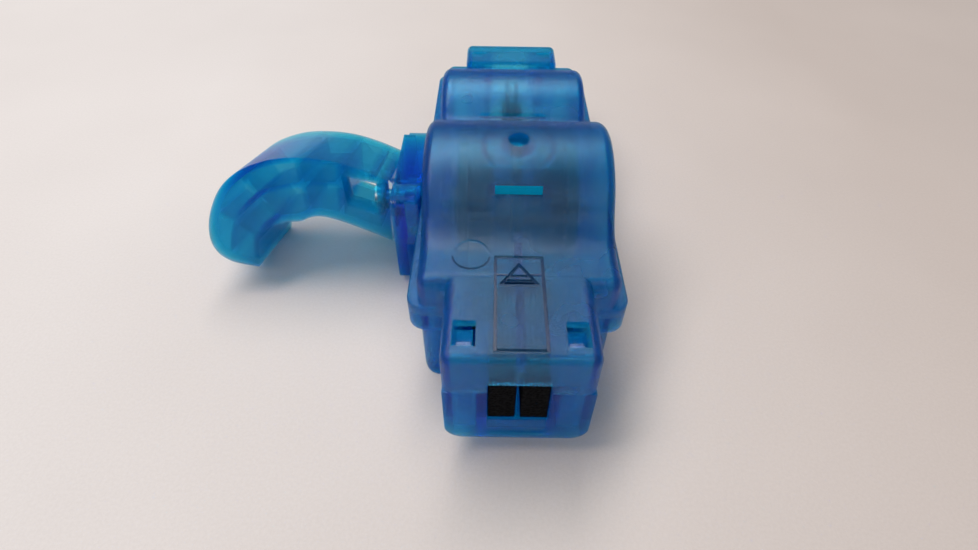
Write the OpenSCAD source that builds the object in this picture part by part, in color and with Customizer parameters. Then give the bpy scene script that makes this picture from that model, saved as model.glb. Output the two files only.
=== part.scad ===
/* [Case] */
// Length over both end tongues, along the chain
overall_len = 135; // [130:1:150]
// Width of the tray under its rim
case_w = 43; // [43:0.5:48]
// How far the rim stands out of the tray on each side
rim_out = 2.3; // [1.8:0.1:3]
// Height of the parting between case and cover
parting_z = 23; // [22.6:0.1:24]
// Height of the rim band
rim_h = 4.7; // [3:0.1:5]
// Wall of the case and the cover
wall = 1.8; // [1.5:0.1:2]
// Floor of the tray
floor_t = 2; // [1.5:0.1:2.2]
// Corner radius of the tray
case_r = 4; // [3:0.5:5]
// Width of the tongues
tongue_w = 29.8; // [29:0.2:32]
// Length of the near tongue
near_len = 18.9; // [18.5:0.1:20]
// Length of the far tongue
far_len = 11.4; // [11:0.1:12]
// Height of the tongues' underside
tongue_z = 6.1; // [4:0.1:7]

/* [Chain port] */
// Width of the chain port
port_w = 12.4; // [11.4:0.2:12.8]
// Height of the port's sill
port_z = 13.5; // [13:0.1:14]
// Height of the port
port_h = 12.2; // [11.6:0.1:12.8]

/* [Cover] */
// Height of the flat deck over the near tongue
deck_z = 33.8; // [33:0.1:35]
// Height of the flat deck over the far tongue
far_deck_z = 29.3; // [28.6:0.1:31]
// Height of the valley between the humps over the parting
valley_rise = 5.6; // [5.4:0.1:7]
// Radius of the main hump
main_hump_r = 20; // [19.5:0.1:21]
// Radius of the rear hump
rear_hump_r = 16; // [15.6:0.1:17]
// Rounding of the cover's side edges
edge_r = 2.6; // [1.5:0.1:2.8]
// Radius of the hollow between deck and main hump
blend_r = 12; // [10:0.5:14]

/* [Brushes] */
// Radius of the side brushes
brush_r = 15.8; // [15:0.1:16]
// Length of the side brushes' bristles
side_bristle = 6; // [4:0.1:6.2]
// Tip radius of the lower rollers' bristles
roller_r = 6.8; // [6:0.1:7]
// Tip radius of the guide wheel's bristles
guide_r = 11; // [10:0.1:11.2]
// Chain pitch
chain_pitch = 12.7; // [12.6:0.1:12.8]
// Radius of the two upper axles
axle_r = 2; // [1.5:0.1:2.2]
// Radius of the two lower axles
pin_r = 1.5; // [1.2:0.1:1.8]

/* [Handle] */
// Reach of the handle from its side plate
handle_reach = 47.6; // [44:0.2:60]
// Height of the handle from its crown to its tip
handle_h = 29.8; // [28:0.2:36]
// Depth of the handle
handle_d = 27; // [25:0.5:29]
// Wall of the handle
handle_wall = 1.8; // [1.5:0.1:2.2]
// Lean of the handle on its pivot as it rests
handle_lean = 18; // [0:1:40]
// Radius of the pivot bolt
bolt_r = 2; // [1.5:0.1:2.2]

/* [Hidden] */
$fn = 48;

// Fits shared by all pieces
overrun = 1;
run_gap = 0.05;
seat_gap = 0.2;
soft_gap = 0.3;
end_gap = 0.2;
rest_gap = 0.05;

// Places along the chain
near_y = -overall_len / 2;
far_y = overall_len / 2;
near_shoulder = near_y + near_len;
far_shoulder = far_y - far_len;
main_off = 33.6;
rear_off = 21.1;
main_y = near_shoulder + main_off;
rear_y = far_shoulder - rear_off;
front_roller_off = 21;
rear_roller_off = 23;
front_roller_y = main_y - front_roller_off;
rear_roller_y = main_y + rear_roller_off;
cover_travel = 2;

// Widths
rim_w = case_w + 2 * rim_out;
side_step = 0.3;
cover_w = case_w - 2 * side_step;
skirt_h = 2.5;
cover_foot = parting_z + skirt_h;
tray_step = 1;
tongue_r = 4;
tongue_edge_r = 1.8;
inner_fillet_r = 2.5;
tray_low_r = 2;

// Humps: heights of their centres and the blends between them
valley_z = parting_z + valley_rise;
far_tongue_rise = 1.7;
far_tongue_z = far_deck_z + far_tongue_rise;
main_hump_rise = 4;
rear_hump_drop = 3;
main_hump_z = parting_z + main_hump_rise;
rear_hump_z = parting_z - rear_hump_drop;
valley_r = 6;
far_blend_r = 5;
deck_corner_r = 2.7;
tongue_corner_r = 1.9;
arc_step = 9;

// Heights of the axles
main_axle_drop = 1;
guide_axle_rise = 1.5;
roller_clear = 0.7;
main_z = main_hump_z - main_axle_drop;
guide_z = rear_hump_z + guide_axle_rise;
roller_z = floor_t + roller_r + roller_clear;

// Stack across the main axle, outward from the chain
tooth_t = 2.2;
sprocket_teeth = 6;
roller_d = 7.75;
roller_seat_gap = 0.15;
tooth_rise = 2.6;
sprocket_boss_r = 5;
sprocket_boss_x = 4.2;
chain_half = 5.2;
backing_t = 0.6;
flange_t = 1.8;
hub_boss = 1.2;
hub_r = 4.5;
flange_x = chain_half + side_bristle + backing_t;
hub_end_x = flange_x + flange_t + hub_boss;
bush_flange_t = 0.5;
bush_x = hub_end_x + end_gap;
post_x = bush_x + bush_flange_t;
post_t = 2;
bush_tail = 0.3;
bush_end_x = post_x + post_t + bush_tail;
main_axle_half = bush_end_x + end_gap;
bush_wall = 1.5;
bush_lip = 1;
bush_r = axle_r + bush_wall;
bush_flange_r = bush_r + bush_lip;
post_w = 12;
post_cap = 0.3;
pitch_r = chain_pitch / 2 / sin(180 / sprocket_teeth);

// Guide wheel
guide_half = 3;
guide_hub_r = 4;
guide_spacer_r = 3.5;
guide_spacer_t = 3.4;
guide_spacer_x = guide_half + end_gap;
guide_post_x = guide_spacer_x + guide_spacer_t;
guide_post_w = 10;
axle_tail = 0.7;
guide_axle_half = guide_post_x + post_t + axle_tail;
guide_rim_r = 5;
guide_rim_t = 0.8;
guide_slice_t = 0.5;

// Lower rollers
roller_core_r = 3;
roller_half = 10.1;
roller_rim_t = 1;
roller_rim_r = 4;
roller_slice_t = 0.5;
roller_post_x = roller_half + end_gap;
roller_post_w = 8;
roller_post_rise = 3.5;
pin_tail = 0.5;
pin_half = roller_post_x + post_t + pin_tail;

// Bristles
strand_r = 0.55;
guide_strand_r = 0.44;
strand_root = 0.3;
side_rows = [14, 18, 22];
side_row_shares = [0.61, 0.775, 0.94];
side_inner_share = 0.52;
roller_columns = 8;
roller_rows = 10;
guide_strands = 24;

// Sponge at the near port
slit_w = 2.2;
sponge_len = 10;
sponge_set = 0.3;
port_top_z = port_z + port_h;
shelf_t = 1.5;
channel_wall = 2.2;
channel_end = 1.2;
channel_len = near_len - wall - channel_end;

// Hooks that hold the cover
hook_w = 3;
hook_t = 1.8;
hook_reach = 1.8;
hook_catch = 1;
hook_head_t = 1.8;
hook_slack = 0.2;
tab_t = 1.8;
tab_len = 3;
hook_hole_w = 4.4;
near_hole_len = 5.9;
near_hole_lead = 2.6;
far_hole_len = 4.9;
far_hole_lead = 0.7;
hook_margin = 1.5;
hook_start = cover_travel + wall + hook_margin;
near_head_drop = 5.2;
near_head_z = deck_z - near_head_drop;
far_head_z = far_deck_z - wall - hook_head_t - soft_gap;
far_hook_start = 1.2;
hook_x = (port_w / 2 + channel_wall + tongue_w / 2 - wall) / 2;

// Marks and openings of the cover
frame_w = 10.2;
frame_near = 2;
frame_len = 24.4;
groove_w = 0.5;
groove_d = 0.4;
arrow_set = 3;
arrow_len = 6;
arrow_w = 7;
arrow_bars = 2;
mark_r = 4.4;
mark_x = 9.9;
mark_off = 7.1;
filler_r = 2.4;
filler_off = 2.1;
neck_wall = 1.4;
ring_r = 8.4;
ring_t = 1.2;
ring_h = 3.2;
neck_h = 3.4;
ledge_w = 10.3;
ledge_off = 13;
ledge_len = 3.8;
ledge_d = 2.3;
ledge_slope = 28;
rear_slot_w = 19;
rear_slot_off = 12.2;
rear_slot_t = 0.8;
rear_slot_d = 0.6;
keel_t = 1.8;
keel_h = 4;
rail_t = 0.8;
rail_h = 1.4;
rail_near = 8;
rail_far = 6;
panel_w = 12;
panel_z = 7.4;
panel_h = 3;
panel_d = 0.5;

// Bracket on the left side
plate_t = 3;
bracket_reach = 7.2;
plate_x = -(rim_w / 2 + bracket_reach);
plate_near = -17;
plate_far = 15.7;
plate_low = 1.5;
plate_top = 28;
plate_r = 2;
block_near = -17;
block_far = 15.2;
block_low = 14.5;
block_x = -(rim_w / 2 + soft_gap);
foot_low = 9;
foot_near = -10;
foot_far = 11;
screw_z = 11.5;
screw_ys = [-7, 8];
screw_r = 1.4;
screw_head_r = 2.6;
screw_head_t = 1.3;
screw_len = 5.5;

// Swivel of the handle
pivot_y = -3.7;
washer_t = 0.4;
washer_r = 5;
root_x = plate_x - washer_t;
root_t = 3;
bolt_head_r = 3.6;
bolt_head_t = 2.5;
nut_r = 3.8;
nut_t = 3;
nut_pocket_r = 4;
bolt_tail = 0.4;
hex = 6;
socket_r = 1.4;
socket_d = 1.2;

// Lock button on the bracket
button_near = -17;
button_len = 4.7;
button_cap_t = 1.4;
button_travel = 0.9;
button_over = 0.1;
stem_inset = 1;
button_edge = 0.5;
stem_wall = 0.7;
button_x = plate_x + button_edge;
button_end_x = block_x - button_edge;
stem_x = plate_x + plate_t + stem_wall;
stem_end_x = block_x - stem_wall;
spring_h = 3.4;
pocket_d = 11.4;
pocket_floor = plate_top - pocket_d;
spring_top = pocket_floor + spring_h;
coil_r = 0.9;
coil_wire_r = 0.16;
coil_turns = 5;
coil_steps = 8;
coil_sides = 6;

// Handle outline: shares of its reach and of its height, root to crown to tip
outer_shares = [
  [0, 0.815], [0.143, 0.909], [0.286, 0.975], [0.443, 1], [0.601, 0.98], [0.767, 0.886],
  [0.889, 0.728], [0.971, 0.497], [1, 0.285], [0.977, 0.141], [0.916, 0.057], [0.842, 0.02], [0.76, 0]
];
// The finger side, tip to root
inner_shares = [
  [0.748, 0.1], [0.739, 0.228], [0.706, 0.315], [0.647, 0.393], [0.569, 0.433], [0.492, 0.443],
  [0.433, 0.48], [0.37, 0.49], [0.275, 0.453], [0.139, 0.369], [0, 0.275]
];
// The rib along the middle
spine_shares = [
  [0.26, 0.765], [0.466, 0.758], [0.573, 0.728], [0.672, 0.681], [0.744, 0.611], [0.807, 0.517],
  [0.851, 0.409], [0.891, 0.218], [0.9, 0.06]
];
// Ribs across: place as shares of reach and height, and their angle
rib_shares = [[0.458, 0.748, 97], [0.695, 0.644, 123], [0.832, 0.4, 141]];
// Window near the root
window_shares = [[0.225, 0.605], [0.245, 0.855], [0.066, 0.79], [0.066, 0.525]];
top_rib_share = 0.11;
window_side_share = 0.268;
window_depth = 7;
window_wall = 1.2;
rib_t = 1.4;
front_t = 1.6;
handle_near = 12;
pivot_share = 0.534;
spline_steps = 4;
// Height of the pivot at which the leaning handle's tip rests on the ground
pivot_z = pivot_share * handle_h * cos(handle_lean) + (handle_d - handle_near) * sin(handle_lean) + rest_gap;

// Helpers: arcs, splines and insets
function arc(c, r, a0, a1) =
  let (n = ceil(abs(a1 - a0) / arc_step))
  [for (i = [0:n]) c + r * [cos(a0 + (a1 - a0) * i / n), sin(a0 + (a1 - a0) * i / n)]];

function spline_at(a, b, c, d, t) =
  0.5 * (2 * b + (c - a) * t + (2 * a - 5 * b + 4 * c - d) * t * t + (3 * b - a - 3 * c + d) * t * t * t);

function spline(p) =
  let (n = len(p) - 1)
  concat(
    [for (i = [0:n - 1]) for (k = [0:spline_steps - 1])
      spline_at(p[max(i - 1, 0)], p[i], p[i + 1], p[min(i + 2, n)], k / spline_steps)],
    [p[n]]
  );

function right_of(a, b) = let (d = b - a) [d.y, -d.x] / norm(d);

function inset(p, d) =
  let (n = len(p))
  [for (i = [0:n - 1])
    let (u = right_of(p[(i + n - 1) % n], p[i]), v = right_of(p[i], p[(i + 1) % n]))
    p[i] + d * (u + v) / (1 + u * v)];

// An outline that is inset all round but for its foot, which stays at z0
function inset_on(p, d, z0) =
  let (q = inset(p, d))
  [for (i = [0:len(p) - 1]) p[i].y <= z0 ? [q[i].x, z0] : q[i]];

function drop_foot(p, z0, by) = [for (q = p) q.y <= z0 ? [q.x, z0 - by] : q];

// Where a hollow of radius r that starts on the level z touches a hump: its centre
function blend_y(yc, zc, hump, r, z, side) = yc + side * sqrt(pow(hump + r, 2) - pow(z + r - zc, 2));

function blend_angle(yc, zc, hump, r, z, side) = atan2(z + r - zc, blend_y(yc, zc, hump, r, z, side) - yc);

// The cover seen from the side, near foot to far foot, over both humps
function cover_outline() =
  let (
    a1 = blend_angle(main_y, main_hump_z, main_hump_r, blend_r, deck_z, -1),
    a2 = blend_angle(main_y, main_hump_z, main_hump_r, valley_r, valley_z, 1),
    a3 = blend_angle(rear_y, rear_hump_z, rear_hump_r, valley_r, valley_z, -1),
    a4 = blend_angle(rear_y, rear_hump_z, rear_hump_r, far_blend_r, far_deck_z, 1),
    y1 = blend_y(main_y, main_hump_z, main_hump_r, blend_r, deck_z, -1),
    y2 = blend_y(main_y, main_hump_z, main_hump_r, valley_r, valley_z, 1),
    y3 = blend_y(rear_y, rear_hump_z, rear_hump_r, valley_r, valley_z, -1),
    y4 = blend_y(rear_y, rear_hump_z, rear_hump_r, far_blend_r, far_deck_z, 1)
  )
  concat(
    [[near_shoulder, cover_foot]],
    arc([near_shoulder + deck_corner_r, deck_z - deck_corner_r], deck_corner_r, 180, 90),
    arc([y1, deck_z + blend_r], blend_r, 270, a1 + 180),
    arc([main_y, main_hump_z], main_hump_r, a1 - arc_step, a2 + arc_step),
    arc([y2, valley_z + valley_r], valley_r, a2 + 180, 270),
    arc([y3, valley_z + valley_r], valley_r, 270, a3 + 180),
    arc([rear_y, rear_hump_z], rear_hump_r, a3 - arc_step, a4 + arc_step),
    arc([y4, far_deck_z + far_blend_r], far_blend_r, a4 + 180, 270),
    arc([far_shoulder - deck_corner_r, far_deck_z - deck_corner_r], deck_corner_r, 90, 0),
    [[far_shoulder, cover_foot]]
  );

function near_tongue_outline() = concat(
  [[near_y, parting_z]],
  arc([near_y + tongue_corner_r, deck_z - tongue_corner_r], tongue_corner_r, 180, 90),
  [[near_shoulder + wall, deck_z], [near_shoulder + wall, parting_z]]
);

function far_tongue_outline() = concat(
  [[far_shoulder - wall, parting_z], [far_shoulder - wall, far_tongue_z]],
  arc([far_y - tongue_corner_r, far_tongue_z - tongue_corner_r], tongue_corner_r, 90, 0),
  [[far_y, parting_z]]
);

// Lays an outline in the Y-Z plane and draws it out along X
module across(w) {
  rotate([90, 0, 90])
    linear_extrude(w, center = true)
      children();
}

// An outline drawn out along X with its two side edges rounded
module rounded_across(p, w, e, z0) {
  turns = [90, 60, 30, 0];
  half = [for (a = turns) [-(w / 2 - e + e * sin(a)), e * (1 - cos(a))]];
  stations = concat(half, [for (i = [len(half) - 1:-1:0]) [-half[i][0], half[i][1]]]);
  n = len(p);
  m = len(stations);
  points = [for (s = stations) for (q = inset_on(p, s[1], z0)) [s[0], q.x, q.y]];
  sides = [for (k = [0:m - 2]) for (i = [0:n - 1]) for (half_face = [0, 1])
    let (j = (i + 1) % n)
    half_face == 0
      ? [k * n + i, k * n + j, (k + 1) * n + j]
      : [k * n + i, (k + 1) * n + j, (k + 1) * n + i]];
  first = [for (i = [n - 1:-1:0]) i];
  last = [for (i = [0:n - 1]) (m - 1) * n + i];
  polyhedron(points, concat([first], sides, [last]), convexity = 6);
}

module rounded_rect(w, h, r) {
  square([w - 2 * r, h], center = true);
  square([w, h - 2 * r], center = true);
  for (x = [-1, 1], y = [-1, 1])
    translate([x * (w / 2 - r), y * (h / 2 - r)])
      circle(r);
}

// A cylinder along X between two places
module rod(r, x0, x1) {
  translate([x0, 0, 0])
    rotate([0, 90, 0])
      cylinder(h = x1 - x0, r = r);
}

module tube(r_out, r_in, x0, x1) {
  difference() {
    rod(r_out, x0, x1);
    rod(r_in, x0 - overrun, x1 + overrun);
  }
}

module box(x0, x1, y0, y1, z0, z1) {
  translate([x0, y0, z0])
    cube([x1 - x0, y1 - y0, z1 - z0]);
}

// The same box on both sides of the middle
module pair(x0, x1, y0, y1, z0, z1) {
  box(x0, x1, y0, y1, z0, z1);
  box(-x1, -x0, y0, y1, z0, z1);
}

// A plate along Y and Z on both sides, with an open slot that an axle drops into
module axle_posts(x, y, z, w, r, low, top) {
  difference() {
    pair(x, x + post_t, y - w / 2, y + w / 2, low, top);
    translate([0, y, z])
      rod(r, -case_w / 2, case_w / 2);
    box(-case_w / 2, case_w / 2, y - r, y + r, z, top + overrun);
  }
}

// Case

module tray_plan(w, y0, y1, r) {
  translate([0, (y0 + y1) / 2])
    rounded_rect(w, y1 - y0, r);
}

module tray_outside() {
  intersection() {
    linear_extrude(parting_z)
      tray_plan(case_w, near_shoulder + tray_step, far_shoulder - tray_step, case_r);
    translate([0, 0, parting_z / 2 + tray_low_r])
      rotate([90, 0, 0])
        linear_extrude(overall_len, center = true)
          rounded_rect(case_w, parting_z + 2 * tray_low_r, tray_low_r);
  }
  translate([0, 0, parting_z - rim_h])
    linear_extrude(rim_h)
      tray_plan(rim_w, near_shoulder, far_shoulder, case_r);
}

module tongue_outside(y0, y1) {
  span = parting_z - tongue_z;
  intersection() {
    box(-tongue_w / 2, tongue_w / 2, y0, y1, tongue_z, parting_z);
    translate([0, (y0 + y1) / 2, tongue_z + span / 2 + tongue_r])
      rotate([90, 0, 0])
        linear_extrude(y1 - y0, center = true)
          rounded_rect(tongue_w, span + 2 * tongue_r, tongue_r);
  }
}

module tongue_inside(y0, y1) {
  box(-tongue_w / 2 + wall, tongue_w / 2 - wall, y0, y1, tongue_z + wall, parting_z + overrun);
}

module port(y0, y1) {
  box(-port_w / 2, port_w / 2, y0, y1, port_z, port_top_z);
}

// Walls that lead the chain from a port into the tray
module channel(y0, y1) {
  pair(port_w / 2, port_w / 2 + channel_wall, y0, y1, tongue_z + wall, parting_z);
  box(-port_w / 2 - wall, port_w / 2 + wall, y0, y1, port_z - shelf_t, port_z);
}

// A post with a head that reaches over a tab of the cover
module case_hooks(y, head_z) {
  pair(hook_x - hook_w / 2, hook_x + hook_w / 2, y, y + hook_t, tongue_z + wall, head_z + hook_head_t);
  pair(hook_x - hook_w / 2, hook_x + hook_w / 2, y, y + hook_t + hook_reach, head_z, head_z + hook_head_t);
}

near_hook_y = near_y + hook_start;
far_hook_y = far_shoulder + far_hook_start;

module side_rails() {
  x1 = cover_w / 2 - wall - seat_gap;
  y0 = near_shoulder + rail_near;
  y1 = far_shoulder - rail_far;
  pair(x1 - rail_t, x1, y0, y1, parting_z - rim_h, parting_z + rail_h);
  pair(x1 - rail_t, case_w / 2 - wall / 2, y0, y1, parting_z - rim_h, parting_z - rail_h);
}

module lower_case() {
  color([0.05, 0.32, 0.78, 0.6])
    difference() {
      union() {
        difference() {
          union() {
            tray_outside();
            tongue_outside(near_y, near_shoulder + case_r + tray_step);
            tongue_outside(far_shoulder - case_r - tray_step, far_y);
          }
          translate([0, 0, floor_t])
            linear_extrude(parting_z)
              tray_plan(case_w - 2 * wall, near_shoulder + tray_step + wall, far_shoulder - tray_step - wall, case_r - wall);
          tongue_inside(near_y + wall, near_shoulder + case_r);
          tongue_inside(far_shoulder - case_r, far_y - wall);
        }
        channel(near_y + wall / 2, near_y + wall + channel_len);
        channel(far_shoulder - wall, far_y - wall / 2);
        case_hooks(near_hook_y, near_head_z);
        case_hooks(far_hook_y, far_head_z);
        side_rails();
        axle_posts(post_x, main_y, main_z, post_w, bush_r + run_gap, floor_t / 2, main_z + bush_r - post_cap);
        pair(post_x + post_t / 2, case_w / 2 - wall / 2, main_y - wall / 2, main_y + wall / 2, floor_t / 2, main_z - bush_r - wall);
        axle_posts(guide_post_x, rear_y, guide_z, guide_post_w, axle_r + run_gap, floor_t / 2, guide_z + axle_r - post_cap / 2);
        for (y = [front_roller_y, rear_roller_y])
          axle_posts(roller_post_x, y, roller_z, roller_post_w, pin_r + run_gap, floor_t / 2, roller_z + roller_post_rise);
      }
      port(near_y - overrun, near_y + wall + overrun / 2);
      port(far_y - wall - overrun / 2, far_y + overrun);
      box(-panel_w / 2, panel_w / 2, near_y - overrun, near_y + panel_d, panel_z, panel_z + panel_h);
      for (y = screw_ys)
        translate([0, y, screw_z])
          rod(screw_r + run_gap, -case_w / 2 - overrun, -case_w / 2 + wall + overrun);
    }
}

// Cover

module skirt() {
  translate([0, 0, parting_z])
    linear_extrude(skirt_h)
      tray_plan(rim_w, near_shoulder, far_shoulder, case_r);
}

module corner_fillets() {
  for (side = [-1, 1])
    mirror([side < 0 ? 1 : 0, 0, 0])
      difference() {
        box(tongue_w / 2 - wall, tongue_w / 2 + inner_fillet_r, near_shoulder - inner_fillet_r, near_shoulder + wall, parting_z, deck_z - edge_r);
        translate([tongue_w / 2 + inner_fillet_r, near_shoulder - inner_fillet_r, parting_z - overrun])
          cylinder(h = deck_z, r = inner_fillet_r);
      }
}

module cover_hollow() {
  across(cover_w - 2 * wall)
    polygon(drop_foot(inset_on(cover_outline(), wall, cover_foot), cover_foot, skirt_h + overrun));
  box(-tongue_w / 2 + wall, tongue_w / 2 - wall, near_y + wall, near_shoulder + 2 * wall, parting_z - overrun, deck_z - wall);
  box(-tongue_w / 2 + wall, tongue_w / 2 - wall, far_shoulder - 2 * wall, far_y - wall, parting_z - overrun, far_deck_z - wall);
  box(-tongue_w / 2 + wall, tongue_w / 2 - wall, far_shoulder, far_y - wall, far_deck_z - 2 * wall, far_tongue_z - wall);
}

// Room for the brush wheel over the whole travel of the cover
module brush_room() {
  r = brush_r + soft_gap;
  for (y = [main_y, main_y - cover_travel])
    translate([0, y, main_z])
      rod(r, -hub_end_x, hub_end_x);
  box(-hub_end_x, hub_end_x, main_y - cover_travel, main_y, main_z - r, main_z + r);
}

// Ribs inside the hollow, cut to its roof
module cover_ribs() {
  intersection() {
    union() {
      pair(post_x, post_x + post_t, main_y - bush_r, main_y + bush_r,
        main_z + bush_r + seat_gap, main_hump_z + main_hump_r);
      pair(guide_post_x, guide_post_x + post_t, rear_y - axle_r, rear_y + axle_r,
        guide_z + axle_r + seat_gap, rear_hump_z + rear_hump_r);
      translate([0, main_y - filler_off, main_hump_z + main_hump_r]) {
        ring(ring_r, ring_r - ring_t, ring_h);
        ring(filler_r + neck_wall, filler_r, neck_h);
      }
      box(-keel_t / 2, keel_t / 2, near_y + wall / 2, main_y - wall, deck_z - wall - keel_h, deck_z);
    }
    union() {
      across(cover_w - wall)
        polygon(inset_on(cover_outline(), wall / 2, cover_foot));
      box(-tongue_w / 2 + wall / 2, tongue_w / 2 - wall / 2, near_y + wall / 2, near_shoulder + 2 * wall,
        parting_z, deck_z - wall / 2);
    }
  }
}

// A ring that hangs from its origin
module ring(r_out, r_in, h) {
  translate([0, 0, -h])
    difference() {
      cylinder(h = h, r = r_out);
      translate([0, 0, -overrun])
        cylinder(h = h + 2 * overrun, r = r_in);
    }
}

module cover_tabs(y, head_z) {
  y0 = y + hook_t + hook_reach - hook_catch;
  pair(hook_x - hook_w / 2, tongue_w / 2 - wall / 2, y0, y0 + tab_len, head_z - hook_slack - tab_t, head_z - hook_slack);
}

module hook_holes(y, len, top) {
  for (x = [-hook_x, hook_x])
    box(x - hook_hole_w / 2, x + hook_hole_w / 2, y, y + len, top - 1.5 * wall, top + overrun);
}

module deck_groove(x0, x1, y0, y1) {
  box(x0, x1, y0, y1, deck_z - groove_d, deck_z + overrun);
}

module direction_frame() {
  y0 = near_y + frame_near;
  y1 = y0 + frame_len;
  half = frame_w / 2;
  deck_groove(-half, half, y0, y0 + groove_w);
  deck_groove(-half, half, y1 - groove_w, y1);
  for (x = [-half, half - groove_w])
    deck_groove(x, x + groove_w, y0, y1);
}

// A plain triangle that points the way the cover slides, with bars inside it
module arrow() {
  tip = near_y + frame_near + frame_len - arrow_set;
  base = tip - arrow_len;
  slope = atan2(arrow_len, arrow_w / 2);
  deck_groove(-arrow_w / 2, arrow_w / 2, base, base + groove_w);
  for (side = [-1, 1])
    translate([side * arrow_w / 2, base, 0])
      rotate([0, 0, side > 0 ? 180 - slope : slope])
        deck_groove(0, norm([arrow_len, arrow_w / 2]), side > 0 ? 0 : -groove_w, side > 0 ? groove_w : 0);
  for (i = [1:arrow_bars])
    deck_groove(-arrow_w / 2 * (1 - i / (arrow_bars + 1)) + groove_w * 2, arrow_w / 2 * (1 - i / (arrow_bars + 1)) - groove_w * 2,
      base + arrow_len * i / (arrow_bars + 2), base + arrow_len * i / (arrow_bars + 2) + groove_w);
}

// A block over a floor that slopes towards the deck, up to an upright face under the hump's top
module ledge_block(grow, drop) {
  y1 = main_y - ledge_off;
  top = main_hump_z + sqrt(pow(main_hump_r, 2) - pow(ledge_off, 2));
  half = ledge_w / 2 + grow;
  intersection() {
    translate([0, y1, top - ledge_d - drop])
      rotate([ledge_slope, 0, 0])
        box(-half, half, -ledge_len / cos(ledge_slope) - grow, ledge_len, 0, 2 * ledge_len);
    box(-half, half, y1 - 2 * ledge_len, y1 + grow, 0, top + overrun);
  }
}

module rear_slot() {
  y = rear_y - rear_slot_off;
  z = rear_hump_z + sqrt(pow(rear_hump_r, 2) - pow(rear_slot_off, 2));
  box(-rear_slot_w / 2, rear_slot_w / 2, y - rear_slot_t, y, z - rear_slot_d - rear_slot_t, z + overrun);
}

module upper_cover() {
  color([0.05, 0.35, 0.82, 0.55])
    difference() {
      union() {
        difference() {
          union() {
            rounded_across(cover_outline(), cover_w, edge_r, cover_foot);
            rounded_across(near_tongue_outline(), tongue_w, tongue_edge_r, parting_z);
            rounded_across(far_tongue_outline(), tongue_w, tongue_edge_r, parting_z);
            skirt();
            corner_fillets();
          }
          cover_hollow();
        }
        difference() {
          union() {
            intersection() {
              ledge_block(wall, wall);
              across(cover_w - wall)
                polygon(inset_on(cover_outline(), wall / 2, cover_foot));
            }
            cover_ribs();
          }
          brush_room();
        }
        cover_tabs(near_hook_y, near_head_z);
        cover_tabs(far_hook_y, far_head_z);
      }
      port(near_y - overrun, near_y + wall + overrun / 2);
      port(far_y - wall - overrun / 2, far_y + overrun);
      hook_holes(near_hook_y - near_hole_lead, near_hole_len, deck_z);
      hook_holes(far_hook_y - far_hole_lead, far_hole_len, far_tongue_z);
      direction_frame();
      arrow();
      ledge_block(0, 0);
      rear_slot();
      translate([-mark_x, near_shoulder + mark_off, deck_z + overrun])
        ring(mark_r, mark_r - groove_w / 2, overrun + groove_d / 2);
      translate([0, main_y - filler_off, main_z])
        cylinder(h = 2 * main_hump_r, r = filler_r);
    }
}

// Sponge

module sponge(side) {
  x0 = slit_w / 2;
  x1 = port_w / 2 - soft_gap;
  y0 = near_y + sponge_set;
  color([0.06, 0.06, 0.07])
    box(side > 0 ? x0 : -x1, side > 0 ? x1 : -x0, y0, y0 + sponge_len, port_z + soft_gap, port_top_z - 2 * soft_gap);
}

module sponge_left() {
  sponge(-1);
}

module sponge_right() {
  sponge(1);
}

// Main brush wheel

module at_main() {
  translate([0, main_y, main_z])
    children();
}

module main_axle() {
  color([0.75, 0.76, 0.78])
    at_main()
      rod(axle_r, -main_axle_half, main_axle_half);
}

module main_bush() {
  tube(bush_r, axle_r + run_gap, bush_x, bush_end_x);
  tube(bush_flange_r, axle_r + run_gap, bush_x, post_x);
}

module main_bushes() {
  color([0.85, 0.85, 0.82])
    at_main() {
      main_bush();
      rotate([0, 0, 180])
        main_bush();
    }
}

module drive_sprocket() {
  color([0.1, 0.1, 0.11])
    at_main()
      difference() {
        union() {
          rotate([90, 0, 90])
            linear_extrude(tooth_t, center = true)
              difference() {
                circle(pitch_r + tooth_rise);
                for (i = [0:sprocket_teeth - 1])
                  rotate(i * 360 / sprocket_teeth)
                    translate([pitch_r, 0])
                      circle(roller_d / 2 + roller_seat_gap);
              }
          rod(sprocket_boss_r, -sprocket_boss_x, sprocket_boss_x);
        }
        rod(axle_r + run_gap, -case_w, case_w);
      }
}

module brush_hub() {
  difference() {
    union() {
      rod(hub_r, sprocket_boss_x, hub_end_x);
      rod(brush_r, flange_x, flange_x + flange_t);
    }
    rod(axle_r + run_gap, 0, case_w);
  }
}

module side_bristles() {
  tube(brush_r, brush_r * side_inner_share, flange_x - backing_t, flange_x);
  for (row = [0:len(side_rows) - 1])
    for (i = [0:side_rows[row] - 1])
      rotate([(i + row / 3) * 360 / side_rows[row], 0, 0])
        translate([chain_half, 0, brush_r * side_row_shares[row]])
          rotate([0, 90, 0])
            cylinder(h = side_bristle + strand_root, r = strand_r, $fn = 3);
}

module left_brush_hub() {
  color([0.12, 0.12, 0.13])
    at_main()
      rotate([0, 0, 180])
        brush_hub();
}

module right_brush_hub() {
  color([0.12, 0.12, 0.13])
    at_main()
      brush_hub();
}

module left_brush_bristles() {
  color([0.05, 0.05, 0.05])
    at_main()
      rotate([0, 0, 180])
        side_bristles();
}

module right_brush_bristles() {
  color([0.05, 0.05, 0.05])
    at_main()
      side_bristles();
}

// Guide wheel

module at_guide() {
  translate([0, rear_y, guide_z])
    children();
}

module guide_axle() {
  color([0.75, 0.76, 0.78])
    at_guide()
      rod(axle_r, -guide_axle_half, guide_axle_half);
}

module guide_spacers() {
  color([0.85, 0.85, 0.82])
    at_guide() {
      tube(guide_spacer_r, axle_r + run_gap, guide_spacer_x, guide_post_x);
      tube(guide_spacer_r, axle_r + run_gap, -guide_post_x, -guide_spacer_x);
    }
}

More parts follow.
